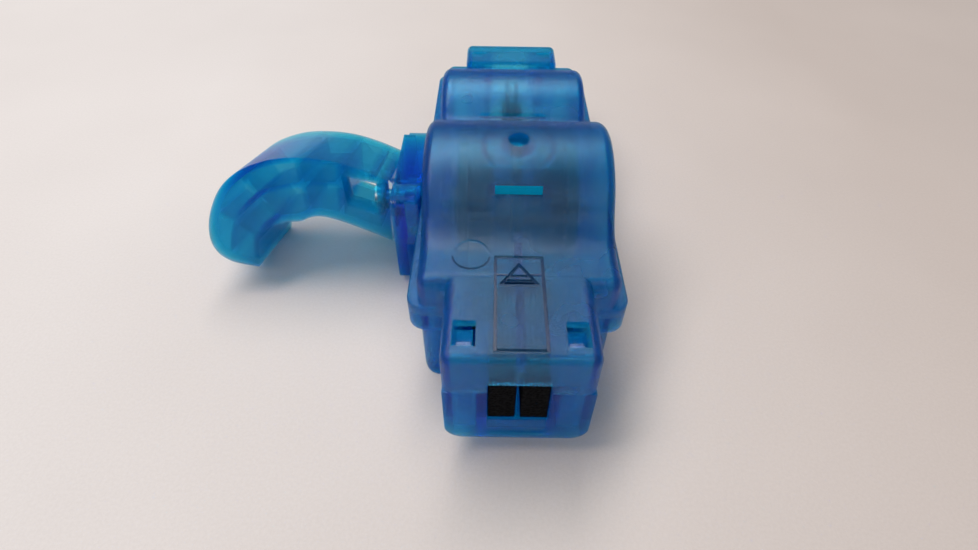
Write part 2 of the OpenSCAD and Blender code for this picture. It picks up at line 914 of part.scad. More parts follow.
module guide_wheel_hub() {
  color([0.12, 0.12, 0.13])
    at_guide() {
      tube(guide_hub_r, axle_r + run_gap, -guide_half, guide_half);
      for (x = [-guide_half, -guide_rim_t / 2, guide_half - guide_rim_t])
        tube(guide_rim_r, guide_hub_r - guide_slice_t, x, x + guide_rim_t);
    }
}

module guide_wheel_bristles() {
  row_w = guide_half - guide_rim_t * 1.5;
  row_x = guide_rim_t / 2 + row_w / 2;
  color([0.05, 0.05, 0.05])
    at_guide()
      for (side = [-1, 1]) {
        tube(guide_hub_r + guide_slice_t, guide_hub_r, side * row_x - row_w / 2, side * row_x + row_w / 2);
        for (i = [0:guide_strands - 1])
          rotate([(i + (side + 1) / 4) * 360 / guide_strands, 0, 0])
            translate([side * row_x, 0, guide_hub_r + guide_slice_t - strand_root])
              cylinder(h = guide_r - guide_hub_r - guide_slice_t + strand_root, r = guide_strand_r, $fn = 3);
      }
}

// Lower rollers

module at_roller(y) {
  translate([0, y, roller_z])
    children();
}

module roller_axle(y) {
  color([0.75, 0.76, 0.78])
    at_roller(y)
      rod(pin_r, -pin_half, pin_half);
}

module roller_core(y) {
  color([0.12, 0.12, 0.13])
    at_roller(y) {
      tube(roller_core_r, pin_r + run_gap, -roller_half, roller_half);
      for (x = [-roller_half, roller_half - roller_rim_t])
        tube(roller_rim_r, pin_r + run_gap, x, x + roller_rim_t);
    }
}

module roller_bristles(y) {
  half = roller_half - roller_rim_t;
  pitch = 2 * half / roller_rows;
  color([0.05, 0.05, 0.05])
    at_roller(y) {
      tube(roller_core_r + roller_slice_t, roller_core_r, -half, half);
      for (row = [0:roller_rows - 1])
        for (i = [0:roller_columns - 1])
          rotate([(i + (row % 2) / 2) * 360 / roller_columns, 0, 0])
            translate([-half + (row + 0.5) * pitch, 0, roller_core_r + roller_slice_t - strand_root])
              cylinder(h = roller_r - roller_core_r - roller_slice_t + strand_root, r = strand_r, $fn = 3);
    }
}

module front_roller_axle() {
  roller_axle(front_roller_y);
}

module front_roller_core() {
  roller_core(front_roller_y);
}

module front_roller_bristles() {
  roller_bristles(front_roller_y);
}

module rear_roller_axle() {
  roller_axle(rear_roller_y);
}

module rear_roller_core() {
  roller_core(rear_roller_y);
}

module rear_roller_bristles() {
  roller_bristles(rear_roller_y);
}

// Bracket on the left side of the case

module handle_bracket() {
  plate_mid = (plate_near + plate_far) / 2;
  color([0.04, 0.28, 0.7, 0.7])
    difference() {
      union() {
        translate([plate_x, plate_mid, (plate_low + plate_top) / 2])
          rotate([90, 0, 90])
            linear_extrude(plate_t)
              rounded_rect(plate_far - plate_near, plate_top - plate_low, plate_r);
        box(plate_x + plate_t / 2, block_x, block_near, block_far, block_low, plate_top);
        box(block_x - wall, -case_w / 2, foot_near, foot_far, foot_low, parting_z - rim_h - seat_gap);
      }
      translate([0, pivot_y, pivot_z]) {
        rod(bolt_r + run_gap, plate_x - overrun, plate_x + plate_t + overrun);
        rod(nut_pocket_r, plate_x + plate_t, -case_w / 2 + overrun);
      }
      box(stem_x - seat_gap, stem_end_x + seat_gap, button_near + stem_inset - seat_gap,
        button_near + button_len - stem_inset + seat_gap, pocket_floor, plate_top + overrun);
      for (y = screw_ys)
        translate([0, y, screw_z])
          rod(screw_r + run_gap, block_x - 2 * wall, -case_w / 2 + overrun);
    }
}

module bracket_screws() {
  head_x = -case_w / 2 + wall;
  color([0.6, 0.61, 0.63])
    for (y = screw_ys)
      translate([0, y, screw_z]) {
        rod(screw_r, head_x - screw_len, head_x + screw_head_t / 2);
        difference() {
          rod(screw_head_r, head_x, head_x + screw_head_t);
          for (turn = [0, 90])
            rotate([turn, 0, 0])
              box(head_x + screw_head_t / 2, head_x + screw_head_t + overrun, -screw_head_r / 2, screw_head_r / 2,
                -screw_head_r / 8, screw_head_r / 8);
        }
      }
}

// Swivel and handle

module at_pivot() {
  translate([0, pivot_y, pivot_z])
    children();
}

module pivot_bolt() {
  head_x = root_x - root_t;
  color([0.6, 0.61, 0.63])
    at_pivot()
      difference() {
        union() {
          rod(bolt_r, head_x - bolt_head_t / 2, plate_x + plate_t + nut_t + bolt_tail);
          rod(bolt_head_r, head_x - bolt_head_t, head_x);
        }
        translate([head_x - bolt_head_t - overrun, 0, 0])
          rotate([0, 90, 0])
            cylinder(h = socket_d + overrun, r = socket_r, $fn = hex);
      }
}

module pivot_washer() {
  color([0.8, 0.81, 0.83])
    at_pivot()
      tube(washer_r, bolt_r + run_gap, root_x, plate_x);
}

module pivot_nut() {
  color([0.6, 0.61, 0.63])
    at_pivot()
      difference() {
        translate([plate_x + plate_t, 0, 0])
          rotate([0, 90, 0])
            cylinder(h = nut_t, r = nut_r, $fn = hex);
        rod(bolt_r + run_gap, -rim_w, 0);
      }
}

// Places a share of the handle's reach and height, outward from the root
function handle_at(s) = [root_x - handle_reach * s[0], handle_h * (s[1] - pivot_share)];

function handle_outline() = concat(
  spline([for (s = outer_shares) handle_at(s)]),
  spline([for (s = inner_shares) handle_at(s)])
);

// Draws an outline of the handle out along its depth, from one depth to another
module through_handle(d0, d1) {
  translate([0, d1 - handle_near, 0])
    rotate([90, 0, 0])
      linear_extrude(d1 - d0)
        children();
}

module handle_ribs() {
  for (s = rib_shares)
    translate(handle_at(s))
      rotate(s[2])
        square([handle_h, rib_t], center = true);
  translate([root_x - handle_reach * window_side_share - rib_t / 2, -handle_h])
    square([rib_t, 2 * handle_h]);
  translate([root_x - handle_reach * top_rib_share - rib_t / 2, handle_at(window_shares[2]).y])
    square([rib_t, handle_h]);
}

module spine_rib() {
  p = spline([for (s = spine_shares) handle_at(s)]);
  n = len(p);
  side = [for (i = [0:n - 1]) right_of(p[max(i - 1, 0)], p[min(i + 1, n - 1)]) * rib_t / 2];
  polygon(concat([for (i = [0:n - 1]) p[i] + side[i]], [for (i = [n - 1:-1:0]) p[i] - side[i]]));
}

module handle_grip() {
  outline = handle_outline();
  window = [for (s = window_shares) handle_at(s)];
  color([0.05, 0.45, 0.75, 0.5])
    at_pivot()
      rotate([-handle_lean, 0, 0])
        difference() {
          union() {
            difference() {
              through_handle(0, handle_d)
                polygon(outline);
              through_handle(front_t, handle_d + overrun)
                polygon(inset(outline, -handle_wall));
            }
            through_handle(front_t / 2, handle_d)
              intersection() {
                polygon(outline);
                union() {
                  handle_ribs();
                  spine_rib();
                  translate([root_x - root_t, -handle_h])
                    square([root_t, 2 * handle_h]);
                }
              }
            through_handle(0, window_depth)
              intersection() {
                polygon(outline);
                polygon(inset(window, -window_wall));
              }
          }
          through_handle(-overrun, window_depth + overrun)
            intersection() {
              polygon(window);
              translate([root_x - handle_reach, -handle_h])
                square([handle_reach - root_t, 2 * handle_h]);
            }
          rod(bolt_r + run_gap, root_x - root_t - overrun, root_x + overrun);
          rod(bolt_head_r + 2 * seat_gap, root_x - root_t - bolt_head_t - overrun, root_x - root_t);
        }
}

// Lock button

module lock_button() {
  color([0.04, 0.3, 0.75, 0.7]) {
    box(button_x, button_end_x, button_near, button_near + button_len,
      plate_top + button_over + button_travel, plate_top + button_over + button_travel + button_cap_t);
    box(stem_x, stem_end_x, button_near + stem_inset, button_near + button_len - stem_inset,
      spring_top, plate_top + button_over + button_travel + button_cap_t / 2);
  }
}

function coil_point(turn, side, low, high) =
  let (
    a = 360 * turn,
    b = 360 * side / coil_sides,
    r = coil_r + coil_wire_r * cos(b),
    z = low + (high - low) * turn / coil_turns + coil_wire_r * sin(b)
  )
  [r * cos(a), r * sin(a), z];

module lock_spring() {
  n = coil_turns * coil_steps;
  low = pocket_floor + coil_wire_r;
  high = spring_top - coil_wire_r;
  points = [for (i = [0:n]) for (k = [0:coil_sides - 1]) coil_point(i / coil_steps, k, low, high)];
  sides = [for (i = [0:n - 1]) for (k = [0:coil_sides - 1]) for (half_face = [0, 1])
    let (m = (k + 1) % coil_sides)
    half_face == 0
      ? [i * coil_sides + k, (i + 1) * coil_sides + m, i * coil_sides + m]
      : [i * coil_sides + k, (i + 1) * coil_sides + k, (i + 1) * coil_sides + m]];
  first = [for (k = [0:coil_sides - 1]) k];
  last = [for (k = [coil_sides - 1:-1:0]) n * coil_sides + k];
  color([0.8, 0.81, 0.83])
    translate([(stem_x + stem_end_x) / 2, button_near + button_len / 2, 0])
      polyhedron(points, concat([first], sides, [last]), convexity = 8);
}

lower_case();
upper_cover();
sponge_left();
sponge_right();
main_axle();
main_bushes();
drive_sprocket();
left_brush_hub();
left_brush_bristles();
right_brush_hub();
right_brush_bristles();
guide_axle();
guide_spacers();
guide_wheel_hub();
guide_wheel_bristles();
front_roller_axle();
front_roller_core();
front_roller_bristles();
rear_roller_axle();
rear_roller_core();
rear_roller_bristles();
handle_bracket();
bracket_screws();
handle_grip();
pivot_bolt();
pivot_washer();
pivot_nut();
lock_button();
lock_spring();
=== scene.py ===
"""Dresses the chain cleaner: translucent blue shells, brushes, foam, hardware, floor, light and camera."""

import math
import random

import bmesh
import bpy
from mathutils import Matrix, Vector


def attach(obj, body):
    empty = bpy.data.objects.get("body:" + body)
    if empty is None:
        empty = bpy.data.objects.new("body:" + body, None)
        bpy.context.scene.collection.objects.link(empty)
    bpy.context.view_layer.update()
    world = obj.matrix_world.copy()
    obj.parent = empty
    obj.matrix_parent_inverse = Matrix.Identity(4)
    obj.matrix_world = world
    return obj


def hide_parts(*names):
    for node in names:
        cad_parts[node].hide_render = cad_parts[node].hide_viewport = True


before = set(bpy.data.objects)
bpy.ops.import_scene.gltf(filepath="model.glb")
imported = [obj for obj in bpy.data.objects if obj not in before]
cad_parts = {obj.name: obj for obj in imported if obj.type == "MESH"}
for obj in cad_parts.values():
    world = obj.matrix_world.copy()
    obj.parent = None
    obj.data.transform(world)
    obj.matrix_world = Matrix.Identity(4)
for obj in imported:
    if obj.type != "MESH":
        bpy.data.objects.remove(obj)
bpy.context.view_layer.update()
scene = bpy.context.scene
MM = 0.001

# Camera, as fitted to the photograph

IMAGE_W = 978
SENSOR = 36
F_PX = 566.94
PITCH = 45.78
YAW = -0.16
ROLL = 0.78
EYE = Vector((-5.92, -126.52, 115.91)) * MM


def make_camera():
    th, ps, ro = (math.radians(a) for a in (PITCH, YAW, ROLL))
    ahead = Vector((math.sin(ps) * math.cos(th), math.cos(ps) * math.cos(th), -math.sin(th)))
    right = Vector((math.cos(ps), -math.sin(ps), 0))
    up = right.cross(ahead)
    x = math.cos(ro) * right + math.sin(ro) * up
    y = -math.sin(ro) * right + math.cos(ro) * up
    cam = bpy.data.cameras.new("camera")
    cam.sensor_width = SENSOR
    cam.lens = F_PX / IMAGE_W * SENSOR
    cam.clip_start = 0.01
    obj = bpy.data.objects.new("camera", cam)
    obj.matrix_world = Matrix.Translation(EYE) @ Matrix((x, y, -ahead)).transposed().to_4x4()
    scene.collection.objects.link(obj)
    scene.camera = obj


make_camera()

# Sizes in millimetres, the same as the solids' own. X runs across, Y away from the photograph's camera.

LEN = 135.0
NEAR = -LEN / 2
FAR = LEN / 2
# Shoulders, where the wide deck ends and the tongues begin
NEAR_SH = NEAR + 18.9
FAR_SH = FAR - 11.4

WALL = 1.8
HALF_WALL = WALL / 2
PARTING = 23.0
FOOT = PARTING + 2.5

RIM_W = 47.6
RIM_R = 4.0
RIM_EDGE = 0.5
COVER_W = 42.4
EDGE = 2.6
DECK_R = 2.7
TONGUE_W = 29.8
TONGUE_R = 1.9
TONGUE_EDGE = 1.8
FILLET_R = 2.5

# Heights of the decks, the far tongue and the valley between the humps
DECK = 33.8
FAR_DECK = 29.3
FAR_TONGUE = 31.0
VALLEY = 28.6

# The humps and the hollows that lead up to them
MAIN_Y, MAIN_Z, MAIN_R = -15.0, 27.0, 20.0
REAR_Y, REAR_Z, REAR_R = 35.0, 20.0, 16.0
BLEND = 12.0
VALLEY_R = 6.0
FAR_BLEND = 5.0

PORT_W = 12.4
PORT_LOW = 13.5
PORT_TOP = 25.7
HOOK_X = 10.65

# Overrun of cuts, and arc steps in degrees
OVER = 1.0
CORNER_STEP = 6.0
TONGUE_STEP = 9.0
# Degrees left free between a hump's arc and its blends
HUMP_GAP = 2


# Mesh helpers. Shapes are built in millimetres and scaled to metres at the end.


def outwards(bm):
    bmesh.ops.recalc_face_normals(bm, faces=bm.faces)


def edit_mesh(me, *steps):
    """Runs steps, each a function of a bmesh, on a mesh."""
    bm = bmesh.new()
    bm.from_mesh(me)
    for step in steps:
        step(bm)
    bm.to_mesh(me)
    bm.free()


def new_object(name, verts, faces):
    me = bpy.data.meshes.new(name)
    me.from_pydata([tuple(v) for v in verts], [], faces)
    me.validate()
    obj = bpy.data.objects.new(name, me)
    scene.collection.objects.link(obj)
    edit_mesh(me, outwards)
    return obj


def settle(obj):
    """Applies the modifiers on an object to its mesh."""
    bpy.context.view_layer.update()
    dg = bpy.context.evaluated_depsgraph_get()
    me = bpy.data.meshes.new_from_object(obj.evaluated_get(dg))
    obj.modifiers.clear()
    old = obj.data
    obj.data = me
    bpy.data.meshes.remove(old)
    return obj


def discard(obj):
    me = obj.data
    bpy.data.objects.remove(obj)
    bpy.data.meshes.remove(me)


def combine(obj, others, how):
    """Joins or cuts an object with others, which are used up."""
    for o in others:
        m = obj.modifiers.new("combine", "BOOLEAN")
        m.object, m.operation, m.solver = o, how, "MANIFOLD"
        settle(obj)
        discard(o)
    return obj


def band(a, b, n):
    """Faces between two rings of n corners, which start at corners a and b."""
    return [(a + i, a + (i + 1) % n, b + (i + 1) % n, b + i) for i in range(n)]


def block(name, x0, x1, y0, y1, z0, z1):
    v = [(x, y, z) for x in (x0, x1) for y in (y0, y1) for z in (z0, z1)]
    sides = [(0, 1, 3, 2), (4, 6, 7, 5), (0, 4, 5, 1), (2, 3, 7, 6), (0, 2, 6, 4), (1, 5, 7, 3)]
    return new_object(name, v, sides)


def prism(name, outline, place, h0, h1):
    """An outline drawn out from h0 to h1; place puts (u, v, h) into space."""
    n = len(outline)
    v = [place(p[0], p[1], h) for h in (h0, h1) for p in outline]
    ends = [tuple(range(n - 1, -1, -1)), tuple(range(n, 2 * n))]
    return new_object(name, v, ends + band(0, n, n))


def upright(u, v, h):
    return (u, v, h)


def across(u, v, h):
    return (h, u, v)


def cylinder(name, centre, axis, r, h0, h1):
    """A round bar through centre along X or Z, from h0 to h1 on that axis."""
    n = 64
    pts = [(r * math.cos(2 * math.pi * i / n), r * math.sin(2 * math.pi * i / n)) for i in range(n)]
    c = Vector(centre)
    put = {
        "X": lambda u, v, h: (h, c.y + u, c.z + v),
        "Z": lambda u, v, h: (c.x + u, c.y + v, h),
    }[axis]
    return prism(name, pts, put, h0, h1)


def arc(cy, cz, r, a0, a1, step=2.0):
    n = max(1, math.ceil(abs(a1 - a0) / step))
    t = [math.radians(a0 + (a1 - a0) * i / n) for i in range(n + 1)]
    return [(cy + r * math.cos(a), cz + r * math.sin(a)) for a in t]


def inset(p, d):
    """An outline moved inwards (to the right of its direction) by d."""
    out = []
    n = len(p)
    for i in range(n):
        a, b, c = Vector(p[i - 1]), Vector(p[i]), Vector(p[(i + 1) % n])
        u, v = (b - a).normalized(), (c - b).normalized()
        u, v = Vector((u.y, -u.x)), Vector((v.y, -v.x))
        q = b + d * (u + v) / (1 + u.dot(v))
        out.append((q.x, q.y))
    return out


def inset_on(p, d, foot):
    """The same, with the corners at the foot's height kept at that height."""
    q = inset(p, d)
    return [(q[i][0], foot) if p[i][1] <= foot + 1e-6 else q[i] for i in range(len(p))]


def clean(p, gap=1e-4):
    """Drops points that repeat the one before."""
    out = []
    for q in p:
        if not out or (Vector(q) - Vector(out[-1])).length > gap:
            out.append(q)
    return out


def lofted(name, outline, w, e, foot):
    """An outline in Y-Z drawn out along X with both side edges rounded by e."""
    steps = 8
    turns = [math.radians(90 - 90 * k / steps) for k in range(steps + 1)]
    half = [(-(w / 2 - e + e * math.sin(a)), e * (1 - math.cos(a))) for a in turns]
    stations = half + [(-x, d) for x, d in reversed(half)]
    n = len(outline)
    verts = []
    for x, d in stations:
        verts += [(x, y, z) for y, z in inset_on(outline, d, foot)]
    faces = [tuple(range(n)), tuple((len(stations) - 1) * n + i for i in range(n - 1, -1, -1))]
    for k in range(len(stations) - 1):
        faces += band(k * n, (k + 1) * n, n)
    return new_object(name, verts, faces)


def rounded_plan(w, y0, y1, r):
    """A rectangle with round corners, w wide and from y0 to y1."""
    x = w / 2 - r
    p = []
    for cx, cy, a in ((x, y0 + r, -90), (x, y1 - r, 0), (-x, y1 - r, 90), (-x, y0 + r, 180)):
        p += arc(cx, cy, r, a, a + 90, CORNER_STEP)
    return clean(p)


def rounded_plate(name, w, y0, y1, r, z0, z1, top_r):
    """A plate with round corners and its upper edge rounded by top_r."""
    steps = 4
    turns = [math.radians(90 * k / steps) for k in range(steps + 1)]
    rings = [(z0, 0.0)]
    rings += [(z1 - top_r + top_r * math.sin(a), top_r * (1 - math.cos(a))) for a in turns]
    verts = []
    for z, d in rings:
        plan = rounded_plan(w - 2 * d, y0 + d, y1 - d, r - d)
        verts += [(x, y, z) for x, y in plan]
    n, m = len(plan), len(rings)
    faces = [tuple(range(n - 1, -1, -1)), tuple((m - 1) * n + i for i in range(n))]
    for k in range(m - 1):
        faces += band(k * n, (k + 1) * n, n)
    return new_object(name, verts, faces)


def finish_mesh(obj, bevel, angle):
    """Merges and dissolves, rounds the sharp edges, scales to metres and shades by angle."""
    weld = 0.004
    flat = math.radians(0.4)
    edit_mesh(
        obj.data,
        lambda bm: bmesh.ops.remove_doubles(bm, verts=bm.verts, dist=weld),
        lambda bm: bmesh.ops.dissolve_degenerate(bm, edges=bm.edges, dist=weld),
        lambda bm: bmesh.ops.dissolve_limit(bm, angle_limit=flat, verts=bm.verts, edges=bm.edges),
    )
    m = obj.modifiers.new("edge", "BEVEL")
    m.width, m.segments = bevel, 2
    m.limit_method, m.angle_limit = "ANGLE", math.radians(angle)
    m.use_clamp_overlap = True
    m.harden_normals = False
    settle(obj)
    obj.data.transform(Matrix.Scale(MM, 4))
    shade(obj, 40)
    m = obj.modifiers.new("normals", "WEIGHTED_NORMAL")
    m.keep_sharp = True
    return settle(obj)


def shade(obj, angle):
    """Smooth shading, with edges over an angle in degrees kept sharp."""
    limit = math.radians(angle)

    def mark(bm):
        for e in bm.edges:
            e.smooth = len(e.link_faces) == 2 and e.calc_face_angle(0) < limit

    obj.data.shade_smooth()
    edit_mesh(obj.data, mark)


def from_cad(node, name):
    """A copy of a CAD node's mesh in millimetres, with its shared corners merged."""
    src = bpy.data.objects[node]
    me = src.data.copy()
    me.name = name
    me.transform(src.matrix_world)
    me.transform(Matrix.Scale(1 / MM, 4))
    obj = bpy.data.objects.new(name, me)
    scene.collection.objects.link(obj)
    me.materials.clear()
    edit_mesh(me, lambda bm: bmesh.ops.remove_doubles(bm, verts=bm.verts, dist=0.002), outwards)
    return obj


# Materials


class Nodes:
    """A short way to write node materials."""

    def __init__(self, name):
        self.mat = bpy.data.materials.new(name)
        self.mat.use_nodes = True
        self.t = self.mat.node_tree
        self.t.nodes.clear()
        self.out = self.t.nodes.new("ShaderNodeOutputMaterial")

    def add(self, kind, values=None, **props):
        n = self.t.nodes.new("ShaderNode" + kind)
        for k, v in props.items():
            setattr(n, k, v)
        for k, v in (values or {}).items():
            n.inputs[k].default_value = v
        return n

    def link(self, a, b):
        self.t.links.new(a, b)

    def ramp(self, source, stops):
        r = self.add("ValToRGB")
        e = r.color_ramp.elements
        while len(e) < len(stops):
            e.new(0.5)
        for k, (pos, col) in enumerate(stops):
            e[k].position = pos
            e[k].color = (*col, 1)
        self.link(source, r.inputs[0])
        return r.outputs[0]

    def ranged(self, source, low, high, to_low=0.0, to_high=1.0):
        r = self.add("MapRange", {"From Min": low, "From Max": high, "To Min": to_low, "To Max": to_high})
        self.link(source, r.inputs["Value"])
        return r.outputs[0]

    def noise(self, scale, detail, rough):
        c = self.add("TexCoord")
        n = self.add("TexNoise", {"Scale": scale, "Detail": detail, "Roughness": rough})
        self.link(c.outputs["Object"], n.inputs["Vector"])
        return n.outputs["Fac"]

    def bump(self, height, strength, distance, normal=None):
        b = self.add("Bump", {"Strength": strength, "Distance": distance})
        self.link(height, b.inputs["Height"])
        if normal:
            self.link(normal, b.inputs["Normal"])
        return b.outputs["Normal"]

    def mix(self, fac, a, b):
        m = self.add("MixShader")
        m.inputs[0].default_value = fac
        self.link(a, m.inputs[1])
        self.link(b, m.inputs[2])
        return m.outputs[0]

    def multiply(self, fac, a, b):
        m = self.add("MixRGB", {"Fac": fac}, blend_type="MULTIPLY")
        self.link(a, m.inputs[1])
        self.link(b, m.inputs[2])
        return m.outputs[0]


def blue_plastic(name, body, film, rough, grain, see, thin, glow, spec, dye=None):
    """Dyed translucent plastic: a coloured body, frosted light that passes and light spread in the wall."""
    m = Nodes(name)
    fine = m.noise(2600.0, 3.0, 0.6)
    soft = m.noise(55.0, 2.0, 0.5)
    normal = m.bump(fine, grain, 0.00012)
    worn = m.ranged(soft, 0.3, 0.7, rough * 0.85, rough * 1.2)
    shells = []
    for colour, passing in ((body, 0.0), (film, 1.0)):
        b = m.add("BsdfPrincipled", {"IOR": 1.49, "Transmission Weight": passing, "Specular IOR Level": spec})
        dark = tuple(c * 0.86 for c in colour)
        m.link(m.ramp(fine, [(0.38, dark), (0.62, colour)]), b.inputs["Base Color"])
        m.link(worn, b.inputs["Roughness"])
        m.link(normal, b.inputs["Normal"])
        shells.append(b.outputs[0])
    spread = m.add("BsdfTranslucent", {"Color": (*(min(1, c * 1.5) for c in body), 1)})
    m.link(normal, spread.inputs["Normal"])
    solid = m.mix(glow, shells[0], spread.outputs[0])
    frosted = m.mix(see, solid, shells[1])
    straight = m.add("BsdfTransparent", {"Color": (*(c ** 0.5 for c in film), 1)})
    m.link(m.mix(thin, frosted, straight.outputs[0]), m.out.inputs["Surface"])
    if dye:
        deep = m.add("VolumeAbsorption", {"Color": (*dye, 1), "Density": 1200.0})
        m.link(deep.outputs[0], m.out.inputs["Volume"])
    return m.mat


BLUE_COVER = blue_plastic("cover_plastic", body=(0.002, 0.23, 0.58), film=(0.80, 0.95, 1.0), rough=0.24,
                          grain=1.0, see=0.78, thin=0.36, glow=0.3, spec=0.75, dye=(0.12, 0.915, 0.99))
BLUE_CASE = blue_plastic("case_plastic", body=(0.0, 0.29, 0.80), film=(0.64, 0.93, 1.0), rough=0.06,
                         grain=0.04, see=0.74, thin=0.42, glow=0.5, spec=0.22, dye=(0.03, 0.90, 0.985))
BLUE_HANDLE = blue_plastic("handle_plastic", body=(0.002, 0.38, 0.66), film=(0.80, 0.97, 1.0), rough=0.06,
                           grain=0.03, see=0.66, thin=0.48, glow=0.3, spec=0.6, dye=(0.16, 0.918, 0.982))
# These two are painted: painted light stands in for light that runs inside the walls, and painted shade for
# the dark of the grooves
BLUE_LIT = blue_plastic("lit_edge_plastic", body=(0.0, 0.60, 1.0), film=(0.1, 0.85, 1.0), rough=0.2,
                        grain=0.1, see=0.1, thin=0.1, glow=0.3, spec=0.2)
BLUE_GROOVE_SHADE = blue_plastic("painted_groove_shade_plastic", body=(0.0, 0.03, 0.12), film=(0.1, 0.4, 0.7), rough=0.2,
                         grain=0.1, see=0.2, thin=0.1, glow=0.2, spec=0.2)


def paint_light_and_shade(obj, material, boxes):
    """Gives the faces inside some boxes, in millimetres, a plastic of their own; it is used for painted light
    on the ledge and painted shade in the grooves.
    """
    obj.data.materials.append(material)
    k = len(obj.data.materials) - 1
    for f in obj.data.polygons:
        c = f.center / MM
        if any(all(lo[i] <= c[i] <= hi[i] for i in range(3)) for lo, hi in boxes):
            f.material_index = k


def solid_material(name, colour, rough, metal=0.0, scale=900.0, amount=0.25, depth=0.00004):
    """An opaque material, with its tone uneven over a wide scale and its surface over a fine one."""
    m = Nodes(name)
    fine = m.noise(scale, 4.0, 0.6)
    wide = m.noise(scale / 14, 2.0, 0.5)
    body = m.add("BsdfPrincipled", {"Metallic": metal, "Roughness": rough})
    dark = tuple(c * 0.72 for c in colour)
    m.link(m.ramp(wide, [(0.3, dark), (0.7, colour)]), body.inputs["Base Color"])
    m.link(m.ranged(fine, 0.25, 0.75, rough * 0.8, min(1, rough * 1.25)), body.inputs["Roughness"])
    m.link(m.bump(fine, amount, depth), body.inputs["Normal"])
    m.link(body.outputs[0], m.out.inputs["Surface"])
    return m.mat


def metal_material(name, colour, rough, scale, amount):
    return solid_material(name, colour, rough, 1.0, scale, amount, 0.00002)


BLACK_BRISTLE = solid_material("bristle_nylon", (0.012, 0.012, 0.014), 0.42)
BLACK_HUB = solid_material("hub_plastic", (0.02, 0.02, 0.023), 0.5)
BLACK_WHEEL = solid_material("wheel_acetal", (0.018, 0.018, 0.022), 0.32)
WHITE_ACETAL = solid_material("bush_acetal", (0.74, 0.74, 0.70), 0.35)
STEEL = metal_material("ground_steel", (0.62, 0.63, 0.65), 0.28, 3000.0, 0.12)
ZINC = metal_material("zinc_plate", (0.55, 0.56, 0.58), 0.34, 700.0, 0.15)


def foam_material():
    m = Nodes("cell_foam")
    c = m.add("TexCoord")
    v = m.add("TexVoronoi", {"Scale": 1500.0})
    m.link(c.outputs["Object"], v.inputs["Vector"])
    cell = v.outputs["Distance"]
    body = m.add("BsdfPrincipled", {"Roughness": 0.95, "Specular IOR Level": 0.05})
    tone = m.ramp(cell, [(0.1, (0.0015, 0.0015, 0.002)), (0.75, (0.008, 0.008, 0.009))])
    m.link(tone, body.inputs["Base Color"])
    m.link(m.bump(cell, 0.9, 0.0004), body.inputs["Normal"])
    m.link(body.outputs[0], m.out.inputs["Surface"])
    return m.mat


FOAM = foam_material()


def dress(obj, material, body, slot_name, *nodes):
    obj.data.materials.clear()
    obj.data.materials.append(material)
    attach(obj, body)
    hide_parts(*nodes)
    return obj


# The cover

# Filler hole on the main hump, its neck and the ring round it, all inside below the hump's top
FILLER_OFF = 2.1
FILLER_Y = MAIN_Y - FILLER_OFF
FILLER_TOP = MAIN_Z + math.sqrt(MAIN_R ** 2 - FILLER_OFF ** 2) - 0.6
FILLER_R = 2.4
NECK_R = 3.8
RING_R, RING_IN_R = 8.4, 7.2
RING_DEPTH = 2.9
RING_SINK = 0.2
FILLER_FROM = 30
# A height above the whole cover
ABOVE = 60

# Ribs and tabs, one each side of the middle: from and to in X, Y and Z
SIDE_BLOCKS = [
    ("rib", 15.5, 17.5, MAIN_Y - 3.5, MAIN_Y + 3.5, 29.7, 44.0),
    ("rib", 6.6, 8.6, REAR_Y - 2, REAR_Y + 2, 23.7, 35.0),
    ("tab", 9.15, 13.8, -59.6, -56.6, 26.6, 28.4),
    ("tab", 9.15, 13.8, 60.9, 63.9, 23.4, 25.2),
]
KEEL_FAR = -32.8
KEEL_LOW = 29.0

# Thumb ledge in the main hump: an upright face and a floor that falls towards the deck
LEDGE_HALF = 5.15
LEDGE_OFF = 13.0
LEDGE_RUN = 6
LEDGE_FALL = math.tan(math.radians(28))
LEDGE_Y = MAIN_Y - LEDGE_OFF
LEDGE_Z = MAIN_Z + math.sqrt(MAIN_R ** 2 - LEDGE_OFF ** 2) - 2.3

# Cuts at the ports, the hook holes and the slot in the rear hump
PORT_DEPTH = WALL + 0.5
HOLE_HALF = 2.2
NEAR_HOLE = (-64.5, -58.5)
NEAR_HOLE_DEPTH = 3
FAR_HOLE = (57.6, 61.5)
FAR_HOLE_DEPTH = 0.6
SLOT_HALF = 9.5
SLOT_Y = (22.0, 22.8)
SLOT_Z = (28.95, 34.0)

# Grooves on the deck: a frame, a triangle with bars in it, and a circle
GROOVE_W = 0.6
GROOVE_DEPTH = 0.6
FRAME_HALF = 4.85
FRAME_NEAR = NEAR + 2.2
FRAME_FAR = NEAR + 26.3
TRIANGLE_HALF = 3.6
TRIANGLE_BASE = NEAR + 18.7
TRIANGLE_TIP = NEAR + 24.1
BAR_OFF, BAR_STEP = 0.75, 1.4
BAR_HALF, BAR_SHRINK = 2.5, 0.8
MARK_X, MARK_Y = -9.95, -40.9
MARK_R = 3.9
MARK_W = 0.4
MARK_DEPTH = 0.3

# Boxes round the faces that get painted light (the ledge) and painted shade (the frame and the circle); the
# circle's takes in its near half
LEDGE_ROOM = ((-5.2, LEDGE_Y - 0.1, LEDGE_Z), (5.2, LEDGE_Y + 0.1, LEDGE_Z + LEDGE_RUN))
FRAME_ROOM = ((-5.4, NEAR + 1.8, DECK - 0.62), (5.4, NEAR + 27, DECK - 0.03))
MARK_ROOM = ((-14.2, -45.2, DECK - 0.34), (-5.7, MARK_Y, DECK - 0.03))


def blend_place(yc, zc, hump, r, z, side):
    """Where a hollow of radius r leads from height z into a hump: its centre in Y and the angle there."""
    y = yc + side * math.sqrt((hump + r) ** 2 - (z + r - zc) ** 2)
    return y, math.degrees(math.atan2(z + r - zc, y - yc))


